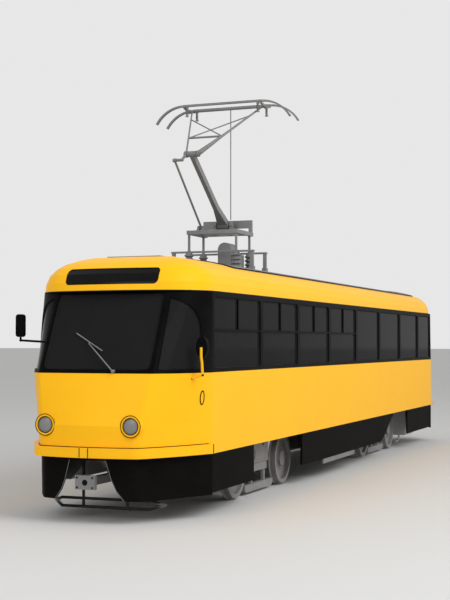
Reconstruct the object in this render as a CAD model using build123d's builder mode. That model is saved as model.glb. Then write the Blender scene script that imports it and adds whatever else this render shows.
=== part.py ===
"""Four-axle tram car with one cab, at full size in millimetres.

X runs forward, Y to the left and Z up. The origin is on the floor under the middle of the car,
at the height of the lowest points of the wheel flanges.
"""

import os
from collections import namedtuple
from math import cos, radians, sin

from build123d import *

os.makedirs("parts", exist_ok=True)

# Clearances
seat_gap = 0.3
running_gap = 0.05
sweep_gap = 5.0

# Running gear
wheel_radius = 350.0
flange_height = 25.0
flange_width = 30.0
wheel_width = 105.0
back_to_back = 1380.0
axle_radius = 65.0
wheelbase = 1900.0
front_pivot_x = 3275.0
rear_pivot_x = -3125.0
rail_top = flange_height
axle_z = rail_top + wheel_radius

# Body shell
half_width = 1100.0
wall = 50.0
glass_thickness = 8.0
glass_depth = 20.0
panel_bottom = rail_top + 708.0
lamp_level = rail_top + 1068.0
waist = rail_top + 1647.0
gutter = rail_top + 2590.0
floor_top = rail_top + 900.0
floor_thickness = 80.0
skirt_bottom = rail_top + 255.0
apron_bottom = rail_top + 235.0
front_split = 5820.0
rear_split = -6475.0

# Windows
window_bottom = rail_top + 1690.0
window_top = rail_top + 2530.0
window_corner = 60.0
post_width = 95.0
vent_bar_z = rail_top + 2140.0
vent_bar = 26.0
first_window_front = 5755.0
first_post_x = 4090.0
window_pitch = 1563.0
last_window_rear = -6435.0
window_count = 8
vented_windows = 4

# Doors on the right-hand side
door_centres = {"front": 5270.0, "middle": 75.0, "rear": -5150.0}
door_width = 1040.0
door_bottom = rail_top + 400.0
door_top = rail_top + 2450.0
leaf_thickness = 36.0
leaf_recess = 8.0
leaf_gap = 5.0
meeting_gap = 14.0
leaf_width = (door_width - 4 * leaf_gap - meeting_gap) / 4
hinge_radius = 3.5
hinge_y = -(half_width - leaf_recess + 4.0)
leaf_outer_y = -(half_width - leaf_recess)
leaf_inner_y = leaf_outer_y + leaf_thickness
leaf_middle_y = leaf_outer_y + leaf_thickness / 2

# Plans of the car's ends, one row for each height above the floor:
# where the side corner starts, a point half-way round it, the pillar between front and corner
# panes, the pillar's rounding, and the nose on the centre line
EndRow = namedtuple("EndRow", "z corner_x mid_x mid_y pillar_x pillar_y pillar_r nose_x")

front_panel_rows = (
    EndRow(panel_bottom, 5820, 6315, 890, 6790, 600, 160, 6865),
    EndRow(lamp_level, 5820, 6325, 903, 6800, 620, 160, 6875),
    EndRow(waist, 5820, 6280, 987, 6664, 710, 60, 6715),
)
front_frame_rows = (
    EndRow(waist, 5820, 6280, 987, 6664, 710, 60, 6715),
    EndRow(gutter, 5820, 6045, 972, 6220, 710, 60, 6262),
)
rear_panel_rows = (
    EndRow(panel_bottom, 6475, 6720, 1002, 6840, 740, 60, 6870),
    EndRow(waist, 6475, 6725, 1007, 6850, 740, 60, 6875),
)
rear_frame_rows = (
    EndRow(waist, 6475, 6725, 1007, 6850, 740, 60, 6875),
    EndRow(gutter, 6475, 6690, 985, 6800, 710, 60, 6840),
)
apron_rows = (
    EndRow(apron_bottom, 5820, 6295, 870, 6740, 590, 160, 6815),
    EndRow(panel_bottom, 5820, 6300, 875, 6765, 590, 160, 6840),
)
rear_apron_rows = (
    EndRow(apron_bottom, 6475, 6690, 985, 6790, 730, 60, 6820),
    EndRow(panel_bottom, 6475, 6700, 990, 6810, 730, 60, 6840),
)
roof_front = EndRow(gutter, 5675, 6050, 971, 6265, 640, 0, 6335)
roof_rear = EndRow(gutter, 6250, 6674, 924, 6850, 510, 0, 6860)

# Roof skin and ceiling: how far each level lies inside the gutter's plan, and its height
RoofLevel = namedtuple("RoofLevel", "inset z")
roof_levels = (
    RoofLevel(0, gutter),
    RoofLevel(15, gutter + 105),
    RoofLevel(60, gutter + 205),
    RoofLevel(140, gutter + 285),
    RoofLevel(240, gutter + 343),
    RoofLevel(400, gutter + 393),
    RoofLevel(560, gutter + 429),
)
ceiling_levels = (
    RoofLevel(50, gutter),
    RoofLevel(62, gutter + 90),
    RoofLevel(110, gutter + 185),
    RoofLevel(190, gutter + 255),
    RoofLevel(290, gutter + 305),
    RoofLevel(440, gutter + 345),
)
roof_top = roof_levels[-1].z


def arc_centre(a, b, c):
    """Centre of the circle through three points."""
    d = 2 * (a[0] * (b[1] - c[1]) + b[0] * (c[1] - a[1]) + c[0] * (a[1] - b[1]))
    aa, bb, cc = (x * x + y * y for x, y in (a, b, c))
    x = (aa * (b[1] - c[1]) + bb * (c[1] - a[1]) + cc * (a[1] - b[1])) / d
    y = (aa * (c[0] - b[0]) + bb * (a[0] - c[0]) + cc * (b[0] - a[0])) / d
    return Vector(x, y)


def inset_row(row, inset):
    """The same end drawn in by a wall's thickness, its pillars kept in line with both arcs."""
    corner = (row.corner_x, half_width)
    middle = Vector(row.mid_x, row.mid_y)
    pillar = Vector(row.pillar_x, row.pillar_y)
    side_centre = arc_centre(corner, (row.mid_x, row.mid_y), (row.pillar_x, row.pillar_y))
    nose_centre = arc_centre(
        (row.pillar_x, row.pillar_y), (row.nose_x, 0), (row.pillar_x, -row.pillar_y)
    )
    middle -= (middle - side_centre).normalized() * inset
    side_normal = (pillar - side_centre).normalized()
    nose_normal = (pillar - nose_centre).normalized()
    pillar -= (side_normal + nose_normal) * (inset / (1 + side_normal.dot(nose_normal)))
    rounding = max(row.pillar_r - inset, 8.0) if row.pillar_r else 0
    return EndRow(
        row.z, row.corner_x, middle.X, middle.Y, pillar.X, pillar.Y, rounding, row.nose_x - inset
    )


def plan_face(z, front=None, rear=None, inset=0.0):
    """The car's outline at one height; an end with no row is cut square at the middle."""
    front = inset_row(front, inset) if front else None
    rear = inset_row(rear, inset) if rear else None
    front_x = front.corner_x if front else 0.0
    rear_x = -rear.corner_x if rear else 0.0
    side_y = half_width - inset
    with BuildSketch(Plane.XY.offset(z)) as plan:
        with BuildLine():
            for side in (1, -1):
                Line((rear_x, side * side_y), (front_x, side * side_y))
            for facing, row in ((1, front), (-1, rear)):
                if row is None:
                    Line((0, -side_y), (0, side_y))
                    continue
                pillars = [(facing * row.pillar_x, side * row.pillar_y) for side in (1, -1)]
                ThreePointArc(pillars[0], (facing * row.nose_x, 0), pillars[1])
                for side, pillar in zip((1, -1), pillars):
                    corner = (facing * row.corner_x, side * side_y)
                    ThreePointArc(corner, (facing * row.mid_x, side * row.mid_y), pillar)
        make_face()
        for row in (front, rear):
            if row is not None and row.pillar_r:
                ends = plan.vertices().filter_by(lambda v: abs(abs(v.X) - row.pillar_x) < 1)
                fillet(ends, radius=row.pillar_r)
    return plan.sketch.face()


def end_block(rows, inset=0.0, facing=1):
    """A solid car end between two or more plans, facing forward or to the rear."""
    with BuildPart() as block:
        if facing > 0:
            loft([plan_face(row.z, front=row, inset=inset) for row in rows], ruled=True)
        else:
            loft([plan_face(row.z, rear=row, inset=inset) for row in rows], ruled=True)
    return block.part


def roof_block(levels):
    """A solid roof: the gutter's plan drawn in level by level."""
    with BuildPart() as block:
        plans = [plan_face(level.z, roof_front, roof_rear, level.inset) for level in levels]
        loft(plans, ruled=True)
    return block.part


def box_between(low, high):
    """A plain box from its lowest to its highest corner, to cut or keep with."""
    size = [top - bottom for bottom, top in zip(low, high)]
    middle = [(top + bottom) / 2 for bottom, top in zip(low, high)]
    return Location(middle) * Box(*size)


def save(piece, name):
    """Label a finished piece and write it."""
    piece.part.label = name
    export_step(piece.part, f"parts/{name}.step")


# Front and rear ends: a yellow lower shell and a black window frame each
ahead_of_split = box_between((front_split, -1300, 0), (7500, 1300, 4000))
behind_split = box_between((-7500, -1300, 0), (rear_split, 1300, 4000))

windscreen_half = 675.0
corner_pane_inner = 748.0
corner_pane_rear = 6025.0
corner_pane_arc = 400.0
pane_top = gutter - 32.0
rear_pane_half = 690.0
rear_corner_inner = 780.0
rear_corner_front = 6560.0
rear_pane_bottom = window_bottom + 40.0


def front_openings(shrink):
    """The prisms that cut the windscreen and the two corner panes."""
    with BuildPart() as cutter:
        with BuildSketch(Plane.YZ.offset(6150)):
            with Locations((0, (window_bottom + pane_top) / 2)):
                height = pane_top - window_bottom - 2 * shrink
                RectangleRounded(2 * (windscreen_half - shrink), height, window_corner)
        extrude(amount=900)
        for side in (1, -1):
            with BuildSketch(Plane.XZ.offset(-side * (corner_pane_inner + shrink))):
                with BuildLine():
                    rear_x = corner_pane_rear + shrink
                    bottom = window_bottom + shrink
                    top = pane_top - shrink
                    arc = corner_pane_arc
                    turn = (rear_x + arc * (1 - cos(radians(45))), top - arc * (1 - sin(radians(45))))
                    Polyline(
                        (rear_x + arc, top),
                        (6850, top),
                        (6850, bottom),
                        (rear_x, bottom),
                        (rear_x, top - arc),
                    )
                    ThreePointArc((rear_x, top - arc), turn, (rear_x + arc, top))
                make_face()
            extrude(amount=-side * 450)
    return cutter.part


def rear_openings(shrink):
    """The prisms that cut the rear window and its two corner panes."""
    with BuildPart() as cutter:
        with BuildSketch(Plane.YZ.offset(-6650)):
            with Locations((0, (rear_pane_bottom + pane_top) / 2)):
                height = pane_top - rear_pane_bottom - 2 * shrink
                RectangleRounded(2 * (rear_pane_half - shrink), height, window_corner)
        extrude(amount=-400)
        for side in (1, -1):
            with BuildSketch(Plane.XZ.offset(-side * (rear_corner_inner + shrink))):
                with Locations((-(rear_corner_front + 200), (rear_pane_bottom + pane_top) / 2)):
                    height = pane_top - rear_pane_bottom - 2 * shrink
                    RectangleRounded(400 - 2 * shrink, height, window_corner)
            extrude(amount=-side * 450)
    return cutter.part


lamp_y = 532.0
lamp_ring_radius = 122.0
lamp_lens_radius = 90.0
lamp_face_x = 6838.0
lamp_back_x = 6640.0
lamp_points = [(lamp_y, lamp_level), (-lamp_y, lamp_level)]
with BuildPart() as lamp_sockets:
    with BuildSketch(Plane.YZ.offset(lamp_back_x)):
        with Locations(*lamp_points):
            Circle(lamp_ring_radius + seat_gap)
    extrude(amount=400)

front_panel_outer = end_block(front_panel_rows)
front_panel_inner = end_block(front_panel_rows, wall)
with BuildPart() as front_panel:
    add(front_panel_outer)
    add(front_panel_inner, mode=Mode.SUBTRACT)
    add(ahead_of_split, mode=Mode.INTERSECT)
    add(lamp_sockets.part, mode=Mode.SUBTRACT)
save(front_panel, "front_panel")

front_frame_outer = end_block(front_frame_rows)
front_frame_inner = end_block(front_frame_rows, wall)
front_cut = front_openings(0.0)
with BuildPart() as front_window_frame:
    add(front_frame_outer)
    add(front_frame_inner, mode=Mode.SUBTRACT)
    add(ahead_of_split, mode=Mode.INTERSECT)
    add(front_cut, mode=Mode.SUBTRACT)
save(front_window_frame, "front_window_frame")

tail_lamp_y = 600.0
tail_lamp_radius = 62.0
tail_lamp_face_x = -6882.0
tail_lamp_back_x = -6780.0
tail_lamp_points = [(tail_lamp_y, lamp_level), (-tail_lamp_y, lamp_level)]
with BuildPart() as tail_lamp_sockets:
    with BuildSketch(Plane.YZ.offset(-7000)):
        with Locations(*tail_lamp_points):
            Circle(tail_lamp_radius + seat_gap)
    extrude(amount=400)

rear_panel_outer = end_block(rear_panel_rows, facing=-1)
rear_panel_inner = end_block(rear_panel_rows, wall, facing=-1)
with BuildPart() as rear_panel:
    add(rear_panel_outer)
    add(rear_panel_inner, mode=Mode.SUBTRACT)
    add(behind_split, mode=Mode.INTERSECT)
    add(tail_lamp_sockets.part, mode=Mode.SUBTRACT)
save(rear_panel, "rear_panel")

rear_frame_outer = end_block(rear_frame_rows, facing=-1)
rear_frame_inner = end_block(rear_frame_rows, wall, facing=-1)
rear_cut = rear_openings(0.0)
with BuildPart() as rear_window_frame:
    add(rear_frame_outer)
    add(rear_frame_inner, mode=Mode.SUBTRACT)
    add(behind_split, mode=Mode.INTERSECT)
    add(rear_cut, mode=Mode.SUBTRACT)
save(rear_window_frame, "rear_window_frame")

# Glass of both ends: a thin shell inside the frame's skin, kept only within the openings
front_glass_outer = end_block(front_frame_rows, glass_depth)
front_glass_inner = end_block(front_frame_rows, glass_depth + glass_thickness)
rear_glass_outer = end_block(rear_frame_rows, glass_depth, facing=-1)
rear_glass_inner = end_block(rear_frame_rows, glass_depth + glass_thickness, facing=-1)
front_keep = front_openings(seat_gap)
rear_keep = rear_openings(seat_gap)
with BuildPart() as front_panes:
    add(front_glass_outer)
    add(front_glass_inner, mode=Mode.SUBTRACT)
    add(front_keep, mode=Mode.INTERSECT)
with BuildPart() as rear_panes:
    add(rear_glass_outer)
    add(rear_glass_inner, mode=Mode.SUBTRACT)
    add(rear_keep, mode=Mode.INTERSECT)
with BuildPart() as end_glass:
    add(front_panes.part)
    add(rear_panes.part)
save(end_glass, "end_glass")

# Side walls: yellow panels below the waist and black window bands above it
post_centres = [first_post_x - i * window_pitch for i in range(window_count - 1)]
window_fronts = [first_window_front] + [x - post_width / 2 for x in post_centres]
window_rears = [x + post_width / 2 for x in post_centres] + [last_window_rear]
left_windows = list(zip(window_rears, window_fronts))

bay_ends = [
    (door_centres["middle"] + door_width / 2, door_centres["front"] - door_width / 2),
    (door_centres["rear"] + door_width / 2, door_centres["middle"] - door_width / 2),
]
windows_per_bay = 3
right_windows = []
for bay_rear, bay_front in bay_ends:
    pitch = (bay_front - bay_rear) / windows_per_bay
    for i in range(windows_per_bay):
        rear = bay_rear + i * pitch + post_width / 2
        right_windows.append((rear, rear + pitch - post_width))
right_windows.append((last_window_rear, door_centres["rear"] - door_width / 2 - post_width))

door_spans = [(x - door_width / 2, x + door_width / 2) for x in door_centres.values()]
window_height = window_top - window_bottom
window_middle_z = (window_top + window_bottom) / 2


def cut_windows(side, windows, shrink, depth_from, depth_to):
    """Rounded window prisms through a wall, from one distance inside the skin to another."""
    with BuildPart() as cutter:
        for rear, front in windows:
            with BuildSketch(Plane.XZ.offset(-side * (half_width - depth_to))):
                with Locations(((rear + front) / 2, window_middle_z)):
                    width = front - rear - 2 * shrink
                    RectangleRounded(width, window_height - 2 * shrink, window_corner - shrink)
            extrude(amount=-side * (depth_to - depth_from))
    return cutter.part


wall_low = {1: half_width - wall, -1: -half_width}
wall_high = {1: half_width, -1: -half_width + wall}


def wall_strip(side, bottom, top):
    """A plain stretch of side wall between the two ends."""
    return box_between((rear_split, wall_low[side], bottom), (front_split, wall_high[side], top))


left_cut = cut_windows(1, left_windows, 0.0, -5.0, wall + 5.0)
right_cut = cut_windows(-1, right_windows, 0.0, -5.0, wall + 5.0)

left_panel_strip = wall_strip(1, panel_bottom, waist)
with BuildPart() as side_panel_left:
    add(left_panel_strip)
save(side_panel_left, "side_panel_left")

right_panel_strip = wall_strip(-1, panel_bottom, waist)
door_cuts = [
    box_between((rear, -half_width - 50, 0), (front, -half_width + wall + 50, door_top))
    for rear, front in door_spans
]
with BuildPart() as side_panel_right:
    add(right_panel_strip)
    add(door_cuts, mode=Mode.SUBTRACT)
save(side_panel_right, "side_panel_right")

# Vents of the first windows: a cross bar and an upright above it, outside the glass
vent_depth = 22.0
vent_bars = []
for rear, front in left_windows[:vented_windows]:
    middle = (rear + front) / 2
    vent_y = (half_width - vent_depth, half_width - 2.0)
    cross_z = (vent_bar_z - vent_bar / 2, vent_bar_z + vent_bar / 2)
    vent_bars.append(box_between((rear, vent_y[0], cross_z[0]), (front, vent_y[1], cross_z[1])))
    upright_x = (middle - vent_bar / 2, middle + vent_bar / 2)
    vent_bars.append(
        box_between((upright_x[0], vent_y[0], vent_bar_z), (upright_x[1], vent_y[1], window_top))
    )

left_band_strip = wall_strip(1, waist, gutter)
with BuildPart() as window_band_left:
    add(left_band_strip)
    add(left_cut, mode=Mode.SUBTRACT)
    add(vent_bars)
save(window_band_left, "window_band_left")

right_band_strip = wall_strip(-1, waist, gutter)
header_cuts = [
    box_between((rear - seat_gap, -half_width - 50, 0), (front + seat_gap, -half_width + wall + 50, 3000))
    for rear, front in door_spans
]
door_headers = [
    box_between((rear, -half_width, door_top), (front, -half_width + wall, gutter))
    for rear, front in door_spans
]
with BuildPart() as window_band_right:
    add(right_band_strip)
    add(right_cut, mode=Mode.SUBTRACT)
    add(header_cuts, mode=Mode.SUBTRACT)
    add(door_headers)
save(window_band_right, "window_band_right")

pane_depth = vent_depth + seat_gap
left_panes = cut_windows(1, left_windows, seat_gap, pane_depth, pane_depth + glass_thickness)
right_panes = cut_windows(-1, right_windows, seat_gap, pane_depth, pane_depth + glass_thickness)
with BuildPart() as side_glass:
    add(left_panes)
    add(right_panes)
save(side_glass, "side_glass")

# Roof: a shell with domed ends, an opening for the destination box in the brow
roof_skin = roof_block(roof_levels)
ceiling = roof_block(ceiling_levels)
sign_half = 600.0
sign_bottom = rail_top + 2668.0
sign_top = rail_top + 2862.0
sign_corner = 55.0


def sign_prism(shrink):
    """The prism of the destination box, looking forward through the brow."""
    with BuildPart() as prism:
        with BuildSketch(Plane.YZ.offset(6000)):
            with Locations((0, (sign_bottom + sign_top) / 2)):
                height = sign_top - sign_bottom - 2 * shrink
                RectangleRounded(2 * (sign_half - shrink), height, sign_corner)
        extrude(amount=600)
    return prism.part


sign_cut = sign_prism(0.0)
with BuildPart() as roof:
    add(roof_skin)
    add(ceiling, mode=Mode.SUBTRACT)
    add(sign_cut, mode=Mode.SUBTRACT)
save(roof, "roof")

sign_recess = 12.0
sign_depth = 40.0
sign_levels_outer = [RoofLevel(level.inset + sign_recess, level.z) for level in roof_levels[:5]]
sign_levels_inner = [
    RoofLevel(level.inset + sign_recess + sign_depth, level.z) for level in roof_levels[:5]
]
sign_front = roof_block(sign_levels_outer)
sign_back = roof_block(sign_levels_inner)
sign_keep = sign_prism(seat_gap)
with BuildPart() as destination_box:
    add(sign_front)
    add(sign_back, mode=Mode.SUBTRACT)
    add(sign_keep, mode=Mode.INTERSECT)
save(destination_box, "destination_box")

# Roof mat: a thin arched cover along the roof and a narrow walkway on the front dome
mat_half = 860.0
mat_front = 4455.0
mat_rear = -5860.0
mat_edge_z = roof_levels[4].z + 12.0
mat_crown_z = rail_top + 3071.0
walk_half = 350.0
walk_front = 5640.0
walk_thickness = 20.0
with BuildPart() as roof_mat:
    with BuildSketch(Plane.YZ.offset(mat_rear)):
        with BuildLine():
            low_y = half_width - roof_levels[4].inset
            mid_y = half_width - roof_levels[5].inset
            top_y = half_width - roof_levels[6].inset
            Polyline(
                (mat_half, mat_edge_z),
                (low_y, roof_levels[4].z),
                (mid_y, roof_levels[5].z),
                (top_y, roof_top),
                (-top_y, roof_top),
                (-mid_y, roof_levels[5].z),
                (-low_y, roof_levels[4].z),
                (-mat_half, mat_edge_z),
            )
            ThreePointArc((-mat_half, mat_edge_z), (0, mat_crown_z), (mat_half, mat_edge_z))
        make_face()
    extrude(amount=mat_front - mat_rear)
    with BuildSketch(Plane.XY.offset(roof_top)):
        with Locations(((mat_front + walk_front) / 2, 0)):
            Rectangle(walk_front - mat_front, 2 * walk_half)
    extrude(amount=walk_thickness)
save(roof_mat, "roof_mat")

# Skirts and aprons below the panels, cut away at the bogies
skirt_thickness = 30.0
skirt_inset = 12.0
left_skirts = ((4365.0, front_split), (rear_split, -4360.0))
middle_skirt_front = 2335.0
arch_points = (
    (-2275.0, skirt_bottom),
    (-2605.0, rail_top + 376.0),
    (-2875.0, rail_top + 527.0),
    (-3255.0, panel_bottom),
)
right_skirts = (
    (door_centres["middle"] + door_width / 2, middle_skirt_front),
    (rear_split, door_centres["rear"] - door_width / 2),
)
with BuildPart() as skirts:
    for side, spans in ((1, left_skirts), (-1, right_skirts)):
        skin = side * (half_width - skirt_inset)
        for rear, front in spans:
            with BuildSketch(Plane.XZ.offset(-skin)):
                with Locations(((rear + front) / 2, (skirt_bottom + panel_bottom) / 2)):
                    Rectangle(front - rear, panel_bottom - skirt_bottom)
            extrude(amount=side * skirt_thickness)
        rear_end = middle_skirt_front if side > 0 else door_centres["middle"] - door_width / 2
        with BuildSketch(Plane.XZ.offset(-skin)):
            with BuildLine():
                Polyline(*arch_points, (rear_end, panel_bottom), (rear_end, skirt_bottom), arch_points[0])
            make_face()
        extrude(amount=side * skirt_thickness)
save(skirts, "skirts")

front_apron_outer = end_block(apron_rows)
front_apron_inner = end_block(apron_rows, skirt_thickness)
rear_apron_outer = end_block(rear_apron_rows, facing=-1)
rear_apron_inner = end_block(rear_apron_rows, skirt_thickness, facing=-1)
mouth_edge = (
    (224.0, rail_top + 686.0),
    (290.0, rail_top + 465.0),
    (345.0, rail_top + 345.0),
    (430.0, apron_bottom - 5.0),
)


def mouth_prism(start_x, length):
    """The prism of the coupler's mouth, wider at the bottom."""
    with BuildPart() as prism:
        with BuildSketch(Plane.YZ.offset(start_x)):
            with BuildLine():
                right = [(-y, z) for y, z in reversed(mouth_edge)]
                Polyline(*mouth_edge, *right, close=True)
            make_face()
        extrude(amount=length)
    return prism.part


mouth_cut = mouth_prism(6300, 900)
rear_mouth_cut = mouth_prism(-7200, 900)
with BuildPart() as front_apron:
    add(front_apron_outer)
    add(front_apron_inner, mode=Mode.SUBTRACT)
    add(ahead_of_split, mode=Mode.INTERSECT)
    add(mouth_cut, mode=Mode.SUBTRACT)
with BuildPart() as rear_apron:
    add(rear_apron_outer)
    add(rear_apron_inner, mode=Mode.SUBTRACT)
    add(behind_split, mode=Mode.INTERSECT)
    add(rear_mouth_cut, mode=Mode.SUBTRACT)
with BuildPart() as aprons:
    add(front_apron.part)
    add(rear_apron.part)
save(aprons, "aprons")

# Bumpers: a band round each end, standing off the panel
bumper_bottom = rail_top + 718.0
bumper_top = rail_top + 826.0
bumper_nose_x = 6925.0
bumper_front_start = 5880.0
bumper_rear_start = 6560.0


def row_between(low, high, z):
    """The end's plan at a height between two rows."""
    share = (z - low.z) / (high.z - low.z)
    return EndRow(*[a + share * (b - a) for a, b in zip(low, high)])


def bumper_block(row, facing, stand):
    """The bumper's solid plan at one end, grown outward from the panel."""
    with BuildPart() as block:
        if facing > 0:
            face = plan_face(bumper_bottom, front=row, inset=-stand)
        else:
            face = plan_face(bumper_bottom, rear=row, inset=-stand)
        add(face)
        extrude(amount=bumper_top - bumper_bottom)
    return block.part


block_half = 50.0
block_gap = 6.0
bumper_pieces = []
for facing, rows, start in (
    (1, front_panel_rows, bumper_front_start),
    (-1, rear_panel_rows, bumper_rear_start),
):
    low_x, high_x = sorted((facing * start, facing * 7500))
    keep = box_between((low_x, -1300, 0), (high_x, 1300, 2000))
    row = row_between(rows[0], rows[1], bumper_top)
    outer = bumper_block(row, facing, bumper_nose_x - row.nose_x)
    inner = bumper_block(row, facing, seat_gap)
    with BuildPart() as bumper:
        add(outer)
        add(inner, mode=Mode.SUBTRACT)
        add(keep, mode=Mode.INTERSECT)
    bumper_pieces.append(bumper.part)
block_slots = [
    box_between((6500, low_y, 0), (7500, low_y + block_gap, 2000))
    for low_y in (block_half, -block_half - block_gap)
]
with BuildPart() as front_bumper:
    add(bumper_pieces[0])
    add(block_slots, mode=Mode.SUBTRACT)
save(front_bumper, "front_bumper")
with BuildPart() as rear_bumper:
    add(bumper_pieces[1])
save(rear_bumper, "rear_bumper")

# Headlamps: a yellow ring and a lens in each socket of the front panel
with BuildPart() as lamp_rings:
    with BuildSketch(Plane.YZ.offset(lamp_back_x)):
        with Locations(*lamp_points):
            Circle(lamp_ring_radius)
            Circle(lamp_lens_radius + seat_gap, mode=Mode.SUBTRACT)
    extrude(amount=lamp_face_x - lamp_back_x)
    chamfer(lamp_rings.edges().filter_by(GeomType.CIRCLE).group_by(Axis.X)[-1], length=9)
save(lamp_rings, "lamp_rings")
lens_recess = 12.0
lens_bulge = 14.0
with BuildPart() as lamp_lenses:
    for side in (1, -1):
        with BuildSketch(Plane.XZ.offset(-side * lamp_y)):
            with BuildLine():
                rim_x = lamp_face_x - lens_recess
                lens_edge = lamp_level + lamp_lens_radius
                Polyline((rim_x, lens_edge), (lamp_back_x + 60, lens_edge))
                Line((lamp_back_x + 60, lamp_level + lamp_lens_radius), (lamp_back_x + 60, lamp_level))
                Line((lamp_back_x + 60, lamp_level), (rim_x + lens_bulge, lamp_level))
                RadiusArc((rim_x + lens_bulge, lamp_level), (rim_x, lamp_level + lamp_lens_radius), -300)
            make_face()
        revolve(axis=Axis((0, side * lamp_y, lamp_level), (1, 0, 0)))
save(lamp_lenses, "lamp_lenses")

# Door leaves: three doors of four leaves, each pair hinged at its own jamb
leaf_bottom = door_bottom
leaf_top = door_top - sweep_gap
leaf_frame = 38.0
leaf_pane_bottom = waist + 20.0
leaf_pane_thickness = 6.0
pin_radius = 8.0
step_top = rail_top + 360.0
barrel_height = 80.0
flap_width = 14.0
flap_thickness = 2.0


def leaf_plan_x(centre, facing):
    """X of the jamb pivot, both ends of the inner leaf and both ends of the outer leaf."""
    jamb = centre + facing * door_width / 2
    pivot = jamb - facing * (leaf_gap + leaf_thickness / 2)
    inner_end = jamb - facing * (leaf_gap + leaf_width)
    outer_start = inner_end - facing * leaf_gap
    return jamb, pivot, inner_end, outer_start, outer_start - facing * leaf_width


def door_leaf(low_x, high_x, pivot_x, knuckle_x, knuckle_levels):
    """One leaf with its pane; the jamb leaf has a round end and pins, both carry hinge barrels."""
    pane_left = low_x + leaf_frame
    pane_right = high_x - leaf_frame
    pane_top_z = leaf_top - leaf_frame
    window = box_between(
        (pane_left, leaf_outer_y - 20, leaf_pane_bottom), (pane_right, leaf_inner_y + 20, pane_top_z)
    )
    pane_y = leaf_middle_y - leaf_pane_thickness / 2
    pane = box_between(
        (pane_left + seat_gap, pane_y, leaf_pane_bottom + seat_gap),
        (pane_right - seat_gap, pane_y + leaf_pane_thickness, pane_top_z - seat_gap),
    )
    flap_low = min(knuckle_x, knuckle_x + (flap_width if (low_x + high_x) / 2 > knuckle_x else -flap_width))
    with BuildPart() as leaf:
        with BuildSketch(Plane.XY.offset(leaf_bottom)):
            if pivot_x is None:
                with Locations(((low_x + high_x) / 2, leaf_middle_y)):
                    Rectangle(high_x - low_x, leaf_thickness)
            else:
                far_x = low_x if abs(low_x - pivot_x) > abs(high_x - pivot_x) else high_x
                with Locations(((far_x + pivot_x) / 2, leaf_middle_y)):
                    Rectangle(abs(far_x - pivot_x), leaf_thickness)
                with Locations((pivot_x, leaf_middle_y)):
                    Circle(leaf_thickness / 2)
        extrude(amount=leaf_top - leaf_bottom)
        add(window, mode=Mode.SUBTRACT)
        for level in knuckle_levels:
            with BuildSketch(Plane.XY.offset(level)):
                with Locations((knuckle_x, hinge_y)):
                    Circle(hinge_radius)
                with Locations((flap_low + flap_width / 2, leaf_outer_y - flap_thickness / 2)):
                    Rectangle(flap_width, flap_thickness)
            extrude(amount=barrel_height)
        if pivot_x is not None:
            with BuildSketch(Plane.XY.offset(step_top + seat_gap)):
                with Locations((pivot_x, leaf_middle_y)):
                    Circle(pin_radius)
            extrude(amount=door_top - step_top - 2 * seat_gap)
        add(pane)
    return leaf


leaf_height = leaf_top - leaf_bottom
jamb_leaf_knuckles = [leaf_bottom + leaf_height * share for share in (0.12, 0.45, 0.8)]
outer_leaf_knuckles = [level + barrel_height + seat_gap for level in jamb_leaf_knuckles]
for door, centre in door_centres.items():
    for facing, pair in ((1, "a"), (-1, "b")):
        jamb, pivot, inner_end, outer_start, outer_end = leaf_plan_x(centre, facing)
        knuckle_x = (inner_end + outer_start) / 2
        jamb_end = jamb - facing * leaf_gap
        low_x, high_x = sorted((jamb_end, inner_end))
        jamb_leaf = door_leaf(low_x, high_x, pivot, knuckle_x, jamb_leaf_knuckles)
        save(jamb_leaf, f"{door}_door_{pair}_jamb_leaf")
        low_x, high_x = sorted((outer_start, outer_end))
        outer_leaf = door_leaf(low_x, high_x, None, knuckle_x, outer_leaf_knuckles)
        save(outer_leaf, f"{door}_door_{pair}_outer_leaf")

# Steps: two treads, two risers and two cheeks at each door
step_plate = 20.0
second_step_top = rail_top + 630.0
first_riser_y = -775.0
second_riser_y = -500.0
step_outer_y = -half_width + 10.0
StepPlate = namedtuple("StepPlate", "low_y high_y low_z high_z")
step_table = (
    StepPlate(step_outer_y, first_riser_y + step_plate, step_top - step_plate, step_top),
    StepPlate(
        first_riser_y,
        first_riser_y + step_plate,
        step_top + seat_gap,
        second_step_top - step_plate - seat_gap,
    ),
    StepPlate(first_riser_y, second_riser_y + step_plate, second_step_top - step_plate, second_step_top),
    StepPlate(second_riser_y, second_riser_y + step_plate, second_step_top + seat_gap, floor_top),
)
step_plates = [
    box_between((rear, plate.low_y, plate.low_z), (front, plate.high_y, plate.high_z))
    for rear, front in door_spans
    for plate in step_table
]
cheek_outer_y = -half_width + wall + seat_gap
with BuildPart() as door_steps:
    add(step_plates)
    for rear, front in door_spans:
        for cheek_x in (rear - step_plate, front + seat_gap):
            with BuildSketch(Plane.YZ.offset(cheek_x)):
                with BuildLine():
                    Polyline(
                        (cheek_outer_y, step_top - step_plate),
                        (cheek_outer_y, floor_top),
                        (second_riser_y + step_plate, floor_top),
                        (second_riser_y + step_plate, second_step_top - step_plate),
                        (first_riser_y + step_plate, step_top - step_plate),
                        (cheek_outer_y, step_top - step_plate),
                    )
                make_face()
            extrude(amount=step_plate - seat_gap)
save(door_steps, "door_steps")

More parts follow.
